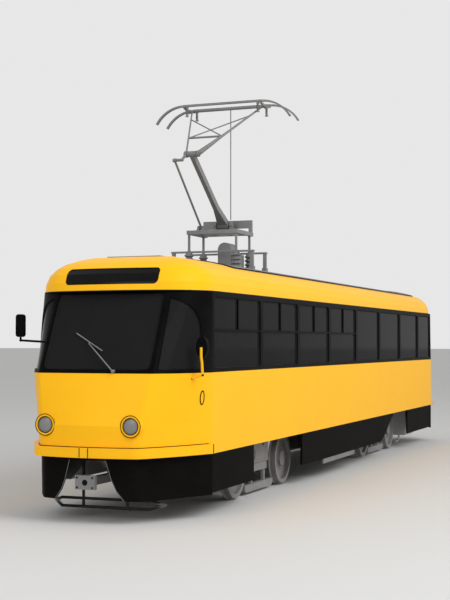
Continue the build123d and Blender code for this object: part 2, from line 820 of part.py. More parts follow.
# Underframe: floor plate, two long sills, a bolster over each bogie and underfloor cases
bolster_half_length = 150.0
bolster_half_width = 600.0
bolster_bottom = rail_top + 690.0
centre_pin_radius = 70.0
centre_pin_depth = 60.0
sill_y = 300.0
sill_width = 80.0
sill_height = 100.0
sill_end = 6300.0
floor_bottom = floor_top - floor_thickness
EquipmentCase = namedtuple("EquipmentCase", "x y length width height")
equipment_cases = (
    EquipmentCase(1040, 640, 1500, 420, 380),
    EquipmentCase(-740, 640, 1800, 420, 330),
    EquipmentCase(1220, -640, 1000, 380, 340),
    EquipmentCase(-1130, -640, 900, 380, 380),
)
floor_face = plan_face(floor_bottom, front_panel_rows[0], rear_panel_rows[0], wall + seat_gap)
floor_joint_y = second_riser_y + step_plate + seat_gap
floor_joint = box_between((-7500, floor_joint_y, 0), (7500, floor_joint_y + seat_gap, 2000))
well_cuts = [
    box_between(
        (rear - step_plate - seat_gap, -half_width, 0),
        (front + step_plate + seat_gap, floor_joint_y, floor_top + 50),
    )
    for rear, front in door_spans
]
underframe_rest = floor_bottom - seat_gap
bolster_reach = bolster_half_length + seat_gap
sill_spans = (
    (-sill_end, rear_pivot_x - bolster_reach),
    (rear_pivot_x + bolster_reach, front_pivot_x - bolster_reach),
    (front_pivot_x + bolster_reach, sill_end),
)
with BuildPart() as underframe:
    add(floor_face)
    extrude(amount=floor_thickness)
    add(well_cuts, mode=Mode.SUBTRACT)
    add(floor_joint, mode=Mode.SUBTRACT)
    with BuildSketch(Plane.XY.offset(floor_bottom - sill_height)):
        for side in (1, -1):
            for rear, front in sill_spans:
                with Locations(((rear + front) / 2, side * (sill_y + sill_width / 2))):
                    Rectangle(front - rear, sill_width)
    extrude(amount=underframe_rest - floor_bottom + sill_height)
    for pivot_x in (front_pivot_x, rear_pivot_x):
        with BuildSketch(Plane.XY.offset(bolster_bottom)):
            with Locations((pivot_x, 0)):
                Rectangle(2 * bolster_half_length, 2 * bolster_half_width)
        extrude(amount=underframe_rest - bolster_bottom)
        with BuildSketch(Plane.XY.offset(bolster_bottom)):
            with Locations((pivot_x, 0)):
                Circle(centre_pin_radius + running_gap)
        extrude(amount=centre_pin_depth, mode=Mode.SUBTRACT)
    for case in equipment_cases:
        with BuildSketch(Plane.XY.offset(floor_bottom - case.height)):
            with Locations((case.x, case.y)):
                Rectangle(case.length, case.width)
        extrude(amount=underframe_rest - floor_bottom + case.height)
save(underframe, "underframe")

# Bogies: an inside frame with a sprung bolster, two motors with gear housings, rail brakes
beam_y = 470.0
beam_width = 90.0
axlebox_radius = 130.0
bolster_top = bolster_bottom - seat_gap
centre_plate_radius = 220.0
centre_plate_height = 25.0
bogie_bolster_height = 120.0
bogie_bolster_half_length = 240.0
bogie_bolster_half_width = 720.0
transom_x = 190.0
transom_width = 80.0
spring_radius = 95.0
spring_rings = 5
spring_x = 130.0
spring_y = 610.0
plank_half_length = 340.0
plank_outer_y = 760.0
motor_radius = 165.0
motor_y = 175.0
motor_z = axle_z + 15.0
gear_radius = 175.0
gear_width = 300.0
brake_half_length = 560.0
brake_y = 735.0
brake_width = 70.0
brake_height = 95.0
brake_lift = 14.0
hanger_x = 250.0
hanger_width = 50.0
beam_low = rail_top + 225.0
beam_seat = rail_top + 365.0
beam_profile = (
    (-1090.0, axle_z - 60.0),
    (-1090.0, axle_z + 80.0),
    (-640.0, axle_z + 80.0),
    (-420.0, beam_seat),
    (420.0, beam_seat),
    (640.0, axle_z + 80.0),
    (1090.0, axle_z + 80.0),
    (1090.0, axle_z - 60.0),
    (640.0, axle_z - 60.0),
    (420.0, beam_low),
    (-420.0, beam_low),
    (-640.0, axle_z - 60.0),
    (-1090.0, axle_z - 60.0),
)
bogie_bolster_bottom = bolster_top - centre_plate_height - bogie_bolster_height


def bogie_frame(pivot_x):
    """Side beams with axleboxes, transoms, springs, bolster, centre plate and centre pin."""
    with BuildPart() as frame:
        for side in (1, -1):
            with BuildSketch(Plane.XZ.offset(-(side * beam_y - beam_width / 2))):
                with BuildLine():
                    Polyline(*[(pivot_x + x, z) for x, z in beam_profile])
                make_face()
                for end in (1, -1):
                    with Locations((pivot_x + end * wheelbase / 2, axle_z)):
                        Circle(axlebox_radius)
            extrude(amount=-beam_width)
            with BuildSketch(Plane.XZ.offset(-(side * beam_y - beam_width))):
                for end in (1, -1):
                    with Locations((pivot_x + end * wheelbase / 2, axle_z)):
                        Circle(axle_radius + running_gap)
            extrude(amount=-2 * beam_width, mode=Mode.SUBTRACT)
            with BuildSketch(Plane.XY.offset(beam_low + 40)):
                with Locations((pivot_x, side * (beam_y + plank_outer_y) / 2)):
                    Rectangle(2 * plank_half_length, plank_outer_y - beam_y)
            extrude(amount=beam_seat - beam_low - 40)
            for end in (1, -1):
                middle_x = pivot_x + end * spring_x
                with BuildSketch(Plane.XZ.offset(-side * spring_y)):
                    with BuildLine():
                        ring = (bogie_bolster_bottom - beam_seat) / spring_rings
                        edge = [(middle_x, beam_seat), (middle_x + spring_radius - 18, beam_seat)]
                        for i in range(spring_rings):
                            edge.append((middle_x + spring_radius, beam_seat + (i + 0.5) * ring))
                            edge.append((middle_x + spring_radius - 18, beam_seat + (i + 1) * ring))
                        edge.append((middle_x, bogie_bolster_bottom))
                        Polyline(*edge, close=True)
                    make_face()
                revolve(axis=Axis((middle_x, side * spring_y, 0), (0, 0, 1)))
        for end in (1, -1):
            with BuildSketch(Plane.XY.offset(beam_low + 40)):
                with Locations((pivot_x + end * transom_x, 0)):
                    Rectangle(transom_width, 2 * beam_y)
            extrude(amount=beam_seat - beam_low - 40)
        with BuildSketch(Plane.XY.offset(bogie_bolster_bottom)):
            with Locations((pivot_x, 0)):
                Rectangle(2 * bogie_bolster_half_length, 2 * bogie_bolster_half_width)
        extrude(amount=bogie_bolster_height)
        with BuildSketch(Plane.XY.offset(bogie_bolster_bottom + bogie_bolster_height)):
            with Locations((pivot_x, 0)):
                Circle(centre_plate_radius)
        extrude(amount=centre_plate_height)
        with BuildSketch(Plane.XY.offset(bolster_top)):
            with Locations((pivot_x, 0)):
                Circle(centre_pin_radius)
        extrude(amount=centre_pin_depth - 5)
    return frame


def bogie_motors(pivot_x):
    """Two lengthwise motors, each with a gear housing round its axle."""
    with BuildPart() as motors:
        for end in (1, -1):
            start = pivot_x + end * (transom_x + transom_width / 2 + seat_gap)
            axle_x = pivot_x + end * wheelbase / 2
            centre_y = -end * motor_y
            with BuildSketch(Plane.YZ.offset(start)):
                with Locations((centre_y, motor_z)):
                    Circle(motor_radius)
            extrude(amount=axle_x - end * 120 - start)
            with BuildSketch(Plane.XZ.offset(-(centre_y - gear_width / 2))):
                with Locations((axle_x, axle_z)):
                    Circle(gear_radius)
            extrude(amount=-gear_width)
            with BuildSketch(Plane.XZ.offset(-(centre_y - gear_width))):
                with Locations((axle_x, axle_z)):
                    Circle(axle_radius + running_gap)
            extrude(amount=-2 * gear_width, mode=Mode.SUBTRACT)
    return motors


def rail_brakes(pivot_x):
    """A magnetic rail brake between the wheels on each side, hung from the side beams."""
    with BuildPart() as brakes:
        for side in (1, -1):
            with BuildSketch(Plane.XZ.offset(-(side * brake_y - brake_width / 2))):
                with BuildLine():
                    low = rail_top + brake_lift
                    Polyline(
                        (pivot_x - brake_half_length, low + 40),
                        (pivot_x - brake_half_length + 60, low),
                        (pivot_x + brake_half_length - 60, low),
                        (pivot_x + brake_half_length, low + 40),
                        (pivot_x + brake_half_length, low + brake_height),
                        (pivot_x - brake_half_length, low + brake_height),
                        (pivot_x - brake_half_length, low + 40),
                    )
                make_face()
            extrude(amount=-brake_width)
            for end in (1, -1):
                with BuildSketch(Plane.XY.offset(low + brake_height)):
                    with Locations((pivot_x + end * hanger_x, side * brake_y)):
                        Rectangle(hanger_width, 40)
                extrude(amount=beam_low + 40 - seat_gap - low - brake_height)
    return brakes


def wheelset(axle_x):
    """Two flanged wheels pressed on one axle, turned as one profile."""
    inner = back_to_back / 2
    rim = wheel_radius - 55
    web = 28
    hub = 105
    profile = [
        (0, 0),
        (axle_radius, 0),
        (axle_radius, inner - 20),
        (hub, inner - 20),
        (hub, inner + 25),
        (rim, inner + 25),
        (rim, inner),
        (wheel_radius + flange_height, inner + 8),
        (wheel_radius + flange_height, inner + 18),
        (wheel_radius, inner + flange_width),
        (wheel_radius, inner + wheel_width),
        (rim, inner + wheel_width),
        (rim, inner + 25 + web),
        (hub, inner + 25 + web),
        (hub, inner + wheel_width - 10),
        (0, inner + wheel_width - 10),
    ]
    with BuildPart() as pair:
        with BuildSketch(Plane.XY.offset(axle_z)):
            with BuildLine():
                Polyline(*[(axle_x + r, y) for r, y in profile], close=True)
            make_face()
        revolve(axis=Axis((axle_x, 0, axle_z), (0, 1, 0)))
        mirror(about=Plane.XZ)
    return pair


for place, pivot_x in (("front", front_pivot_x), ("rear", rear_pivot_x)):
    save(bogie_frame(pivot_x), f"{place}_bogie_frame")
    save(bogie_motors(pivot_x), f"{place}_bogie_motors")
    save(rail_brakes(pivot_x), f"{place}_rail_brakes")
    save(wheelset(pivot_x + wheelbase / 2), f"{place}_bogie_leading_wheelset")
    save(wheelset(pivot_x - wheelbase / 2), f"{place}_bogie_trailing_wheelset")

# Tail lamps: a round lens in each socket of the rear panel
with BuildPart() as tail_lamps:
    with BuildSketch(Plane.YZ.offset(tail_lamp_face_x)):
        with Locations(*tail_lamp_points):
            Circle(tail_lamp_radius)
    extrude(amount=tail_lamp_back_x - tail_lamp_face_x)
save(tail_lamps, "tail_lamps")


def strut(start, end, start_radius, end_radius=None):
    """A round bar between two points, tapered when its radii differ."""
    length = (Vector(end) - Vector(start)).length
    with BuildPart(Plane(origin=start, z_dir=Vector(end) - Vector(start))) as bar:
        if end_radius is None:
            Cylinder(start_radius, length, align=(Align.CENTER, Align.CENTER, Align.MIN))
        else:
            Cone(start_radius, end_radius, length, align=(Align.CENTER, Align.CENTER, Align.MIN))
    return bar.part


def ball(centre, radius):
    """A round knuckle where bars meet."""
    with BuildPart(Plane(origin=centre)) as knuckle:
        Sphere(radius)
    return knuckle.part


# Seats: one profile with a pedestal, in rows on both sides of the aisle
floor_rest = floor_top + seat_gap
SeatRow = namedtuple("SeatRow", "first_x count pitch low_y width")
seat_rows = (
    SeatRow(-5250.0, 13, 770.0, 210.0, 830.0),
    SeatRow(-4350.0, 5, 740.0, -1040.0, 430.0),
    SeatRow(780.0, 5, 760.0, -1040.0, 430.0),
)
seat_profile = ((70, 370), (440, 395), (440, 445), (95, 425), (20, 905), (-25, 900))
pedestal_x = 150.0
pedestal_length = 160.0
pedestal_width = 120.0
with BuildPart() as seats:
    for row in seat_rows:
        for i in range(row.count):
            seat_x = row.first_x + i * row.pitch
            with BuildSketch(Plane.XZ.offset(-row.low_y)):
                with BuildLine():
                    Polyline(*[(seat_x + x, floor_rest + z) for x, z in seat_profile], close=True)
                make_face()
            extrude(amount=-row.width)
            with BuildSketch(Plane.XY.offset(floor_rest)):
                with Locations((seat_x + pedestal_x + pedestal_length / 2, row.low_y + row.width / 2)):
                    Rectangle(pedestal_length, pedestal_width)
            extrude(amount=400)
save(seats, "seats")

# Handrails: two long ceiling rails, their hangers and a pole at each door's inner corners
rail_y = 440.0
rail_z = rail_top + 2735.0
rail_radius = 16.0
rail_rear_x = -6000.0
rail_front_x = 4850.0
ceiling_z = ceiling_levels[-1].z - seat_gap
hanger_count = 8
hanger_pitch = (rail_front_x - rail_rear_x - 300.0) / (hanger_count - 1)
pole_x = [x for span in door_spans for x in span if x < rail_front_x]
rail_bars = []
for side in (1, -1):
    y = side * rail_y
    rail_bars.append(strut((rail_rear_x, y, rail_z), (rail_front_x, y, rail_z), rail_radius))
    for i in range(hanger_count):
        x = rail_rear_x + 150 + i * hanger_pitch
        rail_bars.append(strut((x, y, rail_z), (x, y, ceiling_z), rail_radius))
for x in pole_x:
    rail_bars.append(strut((x, -rail_y, floor_rest), (x, -rail_y, rail_z), rail_radius))
with BuildPart() as handrails:
    add(rail_bars)
save(handrails, "handrails")

# Cab: a glazed partition behind the driver's seat, the desk and the seat
partition_x = 4990.0
partition_thickness = 40.0
partition_low_y = -300.0
partition_high_y = half_width - wall - seat_gap
partition_top = rail_top + 2500.0
partition_pane_bottom = waist
partition_frame = 70.0
pane_shell = 6.0
partition_middle_y = (partition_low_y + partition_high_y) / 2
partition_pane_middle = (partition_pane_bottom + partition_top - partition_frame) / 2
with BuildPart() as cab_partition:
    with BuildSketch(Plane.YZ.offset(partition_x)):
        with Locations((partition_middle_y, (floor_rest + partition_top) / 2)):
            Rectangle(partition_high_y - partition_low_y, partition_top - floor_rest)
        with Locations((partition_middle_y, partition_pane_middle)):
            Rectangle(
                partition_high_y - partition_low_y - 2 * partition_frame,
                partition_top - partition_frame - partition_pane_bottom,
                mode=Mode.SUBTRACT,
            )
    extrude(amount=partition_thickness)
    with BuildSketch(Plane.YZ.offset(partition_x + partition_thickness / 2 - pane_shell / 2)):
        with Locations((partition_middle_y, partition_pane_middle)):
            Rectangle(
                partition_high_y - partition_low_y - 2 * (partition_frame + seat_gap),
                partition_top - partition_frame - partition_pane_bottom - 2 * seat_gap,
            )
    extrude(amount=pane_shell)
save(cab_partition, "cab_partition")

desk_profile = ((6260, 0), (6480, 0), (6560, 560), (6560, 735), (5990, 665), (5990, 610), (6230, 560))
desk_half = 590.0
driver_x = 5380.0
driver_y = 330.0
driver_profile = ((70, 400), (480, 430), (480, 510), (120, 490), (30, 1120), (-40, 1110))
with BuildPart() as cab_fittings:
    with BuildSketch(Plane.XZ.offset(desk_half)):
        with BuildLine():
            Polyline(*[(x, floor_rest + z) for x, z in desk_profile], close=True)
        make_face()
    extrude(amount=-2 * desk_half)
    with BuildSketch(Plane.XZ.offset(-(driver_y - 230))):
        with BuildLine():
            Polyline(*[(driver_x + x, floor_rest + z) for x, z in driver_profile], close=True)
        make_face()
    extrude(amount=-460)
    with BuildSketch(Plane.XY.offset(floor_rest)):
        with Locations((driver_x + 270, driver_y)):
            Circle(90)
    extrude(amount=430)
save(cab_fittings, "cab_fittings")

# Couplers: a bar hung from the underframe at each end, with a holed plate in the apron's mouth
coupler_z = rail_top + 441.0
coupler_face_x = 6890.0
coupler_plate_thickness = 60.0
coupler_plate_width = 240.0
coupler_plate_height = 156.0
coupler_hole_radius = 34.0
drawbar = 90.0
coupler_root_x = 6150.0
with BuildPart() as couplers:
    for facing in (1, -1):
        with BuildSketch(Plane.YZ.offset(facing * coupler_face_x)):
            with Locations((0, coupler_z)):
                Rectangle(coupler_plate_width, coupler_plate_height)
        extrude(amount=-facing * coupler_plate_thickness)
        with BuildSketch(Plane.YZ.offset(facing * coupler_root_x)):
            with Locations((0, coupler_z)):
                Rectangle(drawbar, drawbar)
        extrude(amount=facing * (coupler_face_x - coupler_root_x - 25))
        with BuildSketch(Plane.XY.offset(coupler_z - drawbar / 2)):
            with Locations((facing * (coupler_root_x - 70), 0)):
                Rectangle(180, 160)
        extrude(amount=underframe_rest - coupler_z + drawbar / 2)
        with BuildSketch(Plane.YZ.offset(facing * (coupler_face_x + 1))):
            with Locations((0, coupler_z)):
                Circle(coupler_hole_radius)
        extrude(amount=-facing * 130, mode=Mode.SUBTRACT)
save(couplers, "couplers")

# Lifeguard: a tube frame under the front end
guard_x = 6375.0
guard_post_y = 280.0
guard_half = 560.0
guard_tip_y = 700.0
guard_low_z = rail_top + 105.0
guard_high_z = rail_top + 200.0
guard_radius = 17.0
guard_bars = [
    strut((guard_x, -guard_half, guard_low_z), (guard_x, guard_half, guard_low_z), guard_radius),
    strut((guard_x, -guard_half, guard_high_z), (guard_x, guard_half, guard_high_z), guard_radius),
]
for side in (1, -1):
    tip = (guard_x - 120, side * guard_tip_y, (guard_low_z + guard_high_z) / 2)
    guard_bars += [
        strut((guard_x, side * guard_half, guard_low_z), tip, guard_radius),
        strut((guard_x, side * guard_half, guard_high_z), tip, guard_radius),
        strut(
            (guard_x, side * guard_post_y, guard_low_z),
            (guard_x, side * guard_post_y, underframe_rest),
            guard_radius,
        ),
        ball((guard_x, side * guard_half, guard_low_z), guard_radius + 0.5),
        ball((guard_x, side * guard_half, guard_high_z), guard_radius + 0.5),
        ball(tip, guard_radius + 0.5),
    ]
with BuildPart() as lifeguard:
    add(guard_bars)
save(lifeguard, "lifeguard")

# Mirrors: an oval one on a standing bar on the left, a tall one on an arm on the right
mirror_reach = 1205.0
bar_radius = 13.0
near_x = 6215.0
near_y = mirror_reach - 70.0
near_z = rail_top + 1940.0
far_x = 6330.0
far_y = -(mirror_reach - 55.0)
far_z = rail_top + 2195.0
mirror_body = end_block(front_panel_rows, -seat_gap)
mirror_frame = end_block(front_frame_rows, -seat_gap)
mirror_bars = [
    strut((near_x, 1000, waist - 60), (near_x, near_y, waist - 20), bar_radius),
    strut((near_x, near_y, waist - 20), (near_x, near_y, near_z), bar_radius),
    ball((near_x, near_y, waist - 20), bar_radius + 3),
    strut((6500, -690, far_z - 195), (far_x, far_y, far_z - 175), bar_radius),
    strut((far_x, far_y, far_z - 175), (far_x, far_y, far_z - 100), bar_radius),
    ball((far_x, far_y, far_z - 175), bar_radius + 3),
]
with BuildPart() as mirrors:
    with BuildSketch(Plane.YZ.offset(near_x - 30)):
        with Locations((near_y, near_z)):
            Ellipse(70, 120)
    extrude(amount=60)
    with BuildSketch(Plane.YZ.offset(far_x - 25)):
        with Locations((far_y, far_z)):
            RectangleRounded(110, 270, 35)
    extrude(amount=50)
    add(mirror_bars)
    add(mirror_body, mode=Mode.SUBTRACT)
    add(mirror_frame, mode=Mode.SUBTRACT)
save(mirrors, "mirrors")


# Wiper: a bent arm on the windscreen, standing on a round boss at the sill
def windscreen_point(y, z, stand):
    """A point in front of the window frame's skin."""
    low, high = front_frame_rows
    share = (z - low.z) / (high.z - low.z)
    nose = low.nose_x + share * (high.nose_x - low.nose_x)
    sag = (low.nose_x - low.pillar_x) * (y / low.pillar_y) ** 2
    return (nose - sag + stand, y, z)


wiper_stand = 26.0
wiper_root = windscreen_point(256, rail_top + 1672, wiper_stand)
wiper_boss = windscreen_point(256, rail_top + 1672, -14.0)
wiper_elbow = windscreen_point(-110, rail_top + 1980, wiper_stand)
blade_ends = (windscreen_point(60, rail_top + 1900, -4.0), windscreen_point(-320, rail_top + 2100, -4.0))
blade_middle = windscreen_point(-130, rail_top + 2000, -4.0)
wiper_bars = [
    strut(wiper_boss, wiper_root, 20.0),
    strut(wiper_root, wiper_elbow, 8.0, 6.0),
    strut(wiper_elbow, blade_middle, 6.0),
    strut(blade_ends[0], blade_ends[1], 7.0),
    ball(wiper_root, 20.5),
    ball(wiper_elbow, 8.5),
]
wiper_frame = end_block(front_frame_rows, -seat_gap)
wiper_glass = end_block(front_frame_rows, glass_depth - seat_gap)
with BuildPart() as wiper_clear:
    add(wiper_frame)
    add(front_cut, mode=Mode.SUBTRACT)
with BuildPart() as wiper:
    add(wiper_bars)
    add(wiper_clear.part, mode=Mode.SUBTRACT)
    add(wiper_glass, mode=Mode.SUBTRACT)
save(wiper, "wiper")

# Pantograph: pivots in the middle plane, every length taken from them
panto_pivot = (2605.0, 3705.0)
panto_knee = (3799.0, 4565.0)
panto_head = (2485.0, 5405.0)
rod_foot = (2996.0, 3640.0)
lever_length = 180.0
panto_pin_radius = 28.0
knee_pin_radius = 22.0
head_pin_radius = 20.0
rod_pin_radius = 14.0
rod_y = -190.0


def middle_point(point, y=0.0):
    """A point of the pantograph's middle plane, moved sideways."""
    return (point[0], y, point[1])


def eye(point, low_y, high_y, outer_radius, bore_radius):
    """A round eye across the car at one of the pantograph's pivots."""
    with BuildPart() as ring:
        with BuildSketch(Plane.XZ.offset(-low_y)):
            with Locations(point):
                Circle(outer_radius)
                Circle(bore_radius, mode=Mode.SUBTRACT)
        extrude(amount=low_y - high_y)
    return ring.part


def bore(point, reach, radius):
    """A straight bore across the car."""
    return strut(middle_point(point, -reach), middle_point(point, reach), radius)


# Base: four insulators under two cross bars, slim legs, a frame with bearings and a high rear beam
leg_x = (2510.0, 3050.0)
leg_y = 355.0
leg_width = 28.0
insulator_top = rail_top + 3257.0
insulator_shed = 68.0
insulator_core = 42.0
insulator_foot = 75.0
shed_count = 3
mat_sag = mat_crown_z - mat_edge_z
with BuildPart() as mat_clear:
    with BuildSketch(Plane.YZ.offset(mat_rear - 10)):
        with BuildLine():
            edge_z = mat_edge_z + seat_gap
            Polyline((-mat_half, edge_z), (-mat_half, 2000), (mat_half, 2000), (mat_half, edge_z))
            ThreePointArc((mat_half, edge_z), (0, mat_crown_z + seat_gap), (-mat_half, edge_z))
        make_face()
    extrude(amount=mat_front - mat_rear + 20)


def mat_height(y):
    """About how high the roof mat is at one distance from the middle."""
    return mat_crown_z - mat_sag * (y / mat_half) ** 2


with BuildPart() as panto_insulators:
    foot_z = mat_height(leg_y)
    shed_pitch = (insulator_top - foot_z - 35) / shed_count
    for x in leg_x:
        edge = [(x, foot_z - 60), (x + insulator_foot, foot_z - 60), (x + insulator_foot, foot_z + 18)]
        for i in range(shed_count):
            low = foot_z + 20 + i * shed_pitch
            edge += [(x + insulator_core, low + 10), (x + insulator_shed, low + shed_pitch * 0.55)]
            edge += [(x + insulator_shed, low + shed_pitch * 0.75)]
        edge += [(x + insulator_core, insulator_top - 12), (x + insulator_core, insulator_top)]
        edge += [(x, insulator_top)]
        for side in (1, -1):
            with BuildSketch(Plane.XZ.offset(-side * leg_y)):
                with BuildLine():
                    Polyline(*edge, close=True)
                make_face()
            revolve(axis=Axis((x, side * leg_y, 0), (0, 0, 1)))
    add(mat_clear.part, mode=Mode.SUBTRACT)
save(panto_insulators, "panto_insulators")

bar_half_width = 30.0
bar_height = 24.0
bar_reach = 620.0
bar_bottom = insulator_top + seat_gap
bar_top = bar_bottom + bar_height
foot_width = 90.0
frame_bottom = rail_top + 3520.0
frame_top = rail_top + 3575.0
frame_width = 56.0
frame_rear_x = 2420.0
rear_beam_bottom = rail_top + 3641.0
rear_beam_top = rail_top + 3753.0
bearing_y = 100.0
bearing_width = 34.0
panto_bores = [
    bore(panto_pivot, 400, panto_pin_radius + running_gap),
    bore(rod_foot, 400, rod_pin_radius + running_gap),
]
with BuildPart() as panto_base:
    for x in leg_x:
        with BuildSketch(Plane.XY.offset(bar_bottom)):
            with Locations((x, 0)):
                Rectangle(2 * bar_half_width, 2 * bar_reach)
        extrude(amount=bar_height)
        for side in (1, -1):
            with BuildSketch(Plane.XY.offset(mat_height(bar_reach) - 80)):
                with Locations((x, side * (bar_reach - bar_half_width))):
                    Rectangle(foot_width, 2 * bar_half_width)
            extrude(amount=130)
            with BuildSketch(Plane.XY.offset(mat_height(bar_reach))):
                with Locations((x, side * (bar_reach - bar_half_width))):
                    Rectangle(2 * bar_half_width - 16, 2 * bar_half_width - 16)
            extrude(amount=bar_top - mat_height(bar_reach))
            with BuildSketch(Plane.XY.offset(bar_bottom)):
                with Locations((x, side * leg_y)):
                    Rectangle(leg_width, leg_width)
            extrude(amount=frame_top - bar_bottom)
    for side in (1, -1):
        with BuildSketch(Plane.XY.offset(frame_bottom)):
            with Locations(((frame_rear_x + leg_x[1] + frame_width / 2) / 2, side * leg_y)):
                Rectangle(leg_x[1] + frame_width / 2 - frame_rear_x, frame_width)
        extrude(amount=frame_top - frame_bottom)
        with BuildSketch(Plane.XY.offset(frame_bottom)):
            with Locations((frame_rear_x + 25, side * (leg_y - 5))):
                Rectangle(50, 46)
        extrude(amount=rear_beam_top - frame_bottom)
    for x in (panto_pivot[0], leg_x[1]):
        with BuildSketch(Plane.XY.offset(frame_bottom)):
            with Locations((x, 0)):
                Rectangle(frame_width, 2 * leg_y)
        extrude(amount=frame_top - frame_bottom)
    with BuildSketch(Plane.XY.offset(rear_beam_bottom)):
        with Locations((frame_rear_x + 25, 0)):
            Rectangle(50, 2 * leg_y)
    extrude(amount=rear_beam_top - rear_beam_bottom)
    for side in (1, -1):
        with BuildSketch(Plane.XZ.offset(-(side * (bearing_y + bearing_width / 2) - bearing_width / 2))):
            with Locations((panto_pivot[0], (frame_bottom + 10 + panto_pivot[1]) / 2)):
                Rectangle(80, panto_pivot[1] - frame_bottom - 10)
            with Locations(panto_pivot):
                Circle(52)
        extrude(amount=-bearing_width)
    for low_y in (rod_y - 52, rod_y + 22):
        with BuildSketch(Plane.XZ.offset(-low_y)):
            with BuildLine():
                x, z = rod_foot
                Polyline(
                    (x - 30, z),
                    (x - 30, frame_bottom + 5),
                    (leg_x[1] + 10, frame_bottom + 5),
                    (leg_x[1] + 10, frame_top - 5),
                    (x + 30, z),
                    (x - 30, z),
                )
            make_face()
            with Locations(rod_foot):
                Circle(30)
        extrude(amount=-30)
    add(mat_clear.part, mode=Mode.SUBTRACT)
    add(panto_bores, mode=Mode.SUBTRACT)
save(panto_base, "panto_base")

# Drive: a round-topped housing and a low box on the roof mat under the frame
drive_y = 110.0
drive_radius = 100.0
drive_top = rail_top + 3409.0
drive_span = (2610.0, 2870.0)
switch_ahead = 140.0
switch_length = 200.0
switch_y = (215.5, 325.0)
switch_top = rail_top + 3235.0
with BuildPart() as panto_drive:
    with BuildSketch(Plane.YZ.offset(drive_span[0])):
        with Locations((drive_y, drive_top - drive_radius - 150)):
            Rectangle(2 * drive_radius, 300)
        with Locations((drive_y, drive_top - drive_radius)):
            Circle(drive_radius)
    extrude(amount=drive_span[1] - drive_span[0])
    with BuildSketch(Plane.YZ.offset(leg_x[0] + switch_ahead)):
        with Locations(((switch_y[0] + switch_y[1]) / 2, switch_top - 125)):
            Rectangle(switch_y[1] - switch_y[0], 250)
    extrude(amount=switch_length)
    add(mat_clear.part, mode=Mode.SUBTRACT)
save(panto_drive, "panto_drive")

# Lower arm: one tapered box from the pivot tube to the knee pin
arm_base_half = 80.0
arm_waist_half = 31.0
arm_waist_share = 0.26
arm_knee_half = 28.0
arm_base_depth = 60.0
arm_knee_depth = 34.0
knee_reach = 118.0
arm_direction = Vector(panto_knee[0] - panto_pivot[0], 0, panto_knee[1] - panto_pivot[1])
arm_plane = Plane(
    origin=middle_point(panto_pivot),
    x_dir=arm_direction,
    z_dir=arm_direction.cross(Vector(0, 1, 0)),
)
lower_arm_parts = [
    strut(middle_point(panto_pivot, -134), middle_point(panto_pivot, 134), panto_pin_radius),
    strut(middle_point(panto_pivot, -arm_base_half), middle_point(panto_pivot, arm_base_half), arm_base_depth),
    strut(middle_point(panto_knee, -knee_reach), middle_point(panto_knee, knee_reach), knee_pin_radius),
    strut(middle_point(panto_knee, -60), middle_point(panto_knee, 60), arm_knee_depth + 6),
]
arm_length = arm_direction.length
arm_depth = 84.0
with BuildPart() as lower_beam:
    with BuildSketch(arm_plane):
        with BuildLine():
            Polyline(
                (0, -arm_base_half),
                (arm_waist_share * arm_length, -arm_waist_half),
                (arm_length, -arm_knee_half),
                (arm_length, arm_knee_half),
                (arm_waist_share * arm_length, arm_waist_half),
                (0, arm_base_half),
                (0, -arm_base_half),
            )
        make_face()
    extrude(amount=arm_depth / 2, both=True)
with BuildPart() as lower_arm:
    add(lower_beam.part)
    add(lower_arm_parts)
save(lower_arm, "lower_arm")

# Upper arm: two legs that taper and spread to a cross tube, braced, with the rod's lever
leg_knee_y = 86.0
leg_eye_half = 20.0
leg_head_y = 545.0
LegRadii = namedtuple("LegRadii", "side knee waist head")
leg_table = (LegRadii(1, 36.0, 18.0, 12.0), LegRadii(-1, 13.0, 12.0, 11.0))
taper_share = 0.36
head_tube_reach = 612.0
upper_direction = (Vector(*panto_knee) - Vector(*panto_head)).normalized()
lever_point = (
    panto_knee[0] + lever_length * upper_direction.X,
    panto_knee[1] + lever_length * upper_direction.Y,
)


def leg_point(side, share):
    """A point along one leg of the upper arm, from the knee (0) to the head (1)."""
    x = panto_knee[0] + share * (panto_head[0] - panto_knee[0])
    z = panto_knee[1] + share * (panto_head[1] - panto_knee[1])
    return (x, side * (leg_knee_y + share * (leg_head_y - leg_knee_y)), z)


upper_parts = [
    bore(panto_head, head_tube_reach, head_pin_radius),
    strut(leg_point(1, taper_share), leg_point(-1, taper_share), 14.0),
    strut(leg_point(1, taper_share), leg_point(-1, 0.8), 9.0),
    strut(leg_point(-1, taper_share), leg_point(1, 0.8), 9.0),
]
for side, knee_radius, waist_radius, head_radius in leg_table:
    upper_parts += [
        strut(leg_point(side, 0), leg_point(side, taper_share), knee_radius, waist_radius),
        strut(leg_point(side, taper_share), leg_point(side, 1), waist_radius, head_radius),
        strut(
            middle_point(panto_knee, side * leg_knee_y - leg_eye_half),
            middle_point(panto_knee, side * leg_knee_y + leg_eye_half),
            44.0,
        ),
    ]
lever_y = -leg_knee_y
upper_parts += [
    strut(middle_point(panto_knee, lever_y), middle_point(lever_point, lever_y), 22.0, 16.0),
    strut(middle_point(lever_point, lever_y + 20), middle_point(lever_point, rod_y + 32), 20.0),
]
knee_bore = bore(panto_knee, 300, knee_pin_radius + running_gap)
knee_space = bore(panto_knee, leg_knee_y - leg_eye_half, 62.0)
with BuildPart() as upper_arm:
    add(upper_parts)
    add(knee_bore, mode=Mode.SUBTRACT)
    add(knee_space, mode=Mode.SUBTRACT)
save(upper_arm, "upper_arm")

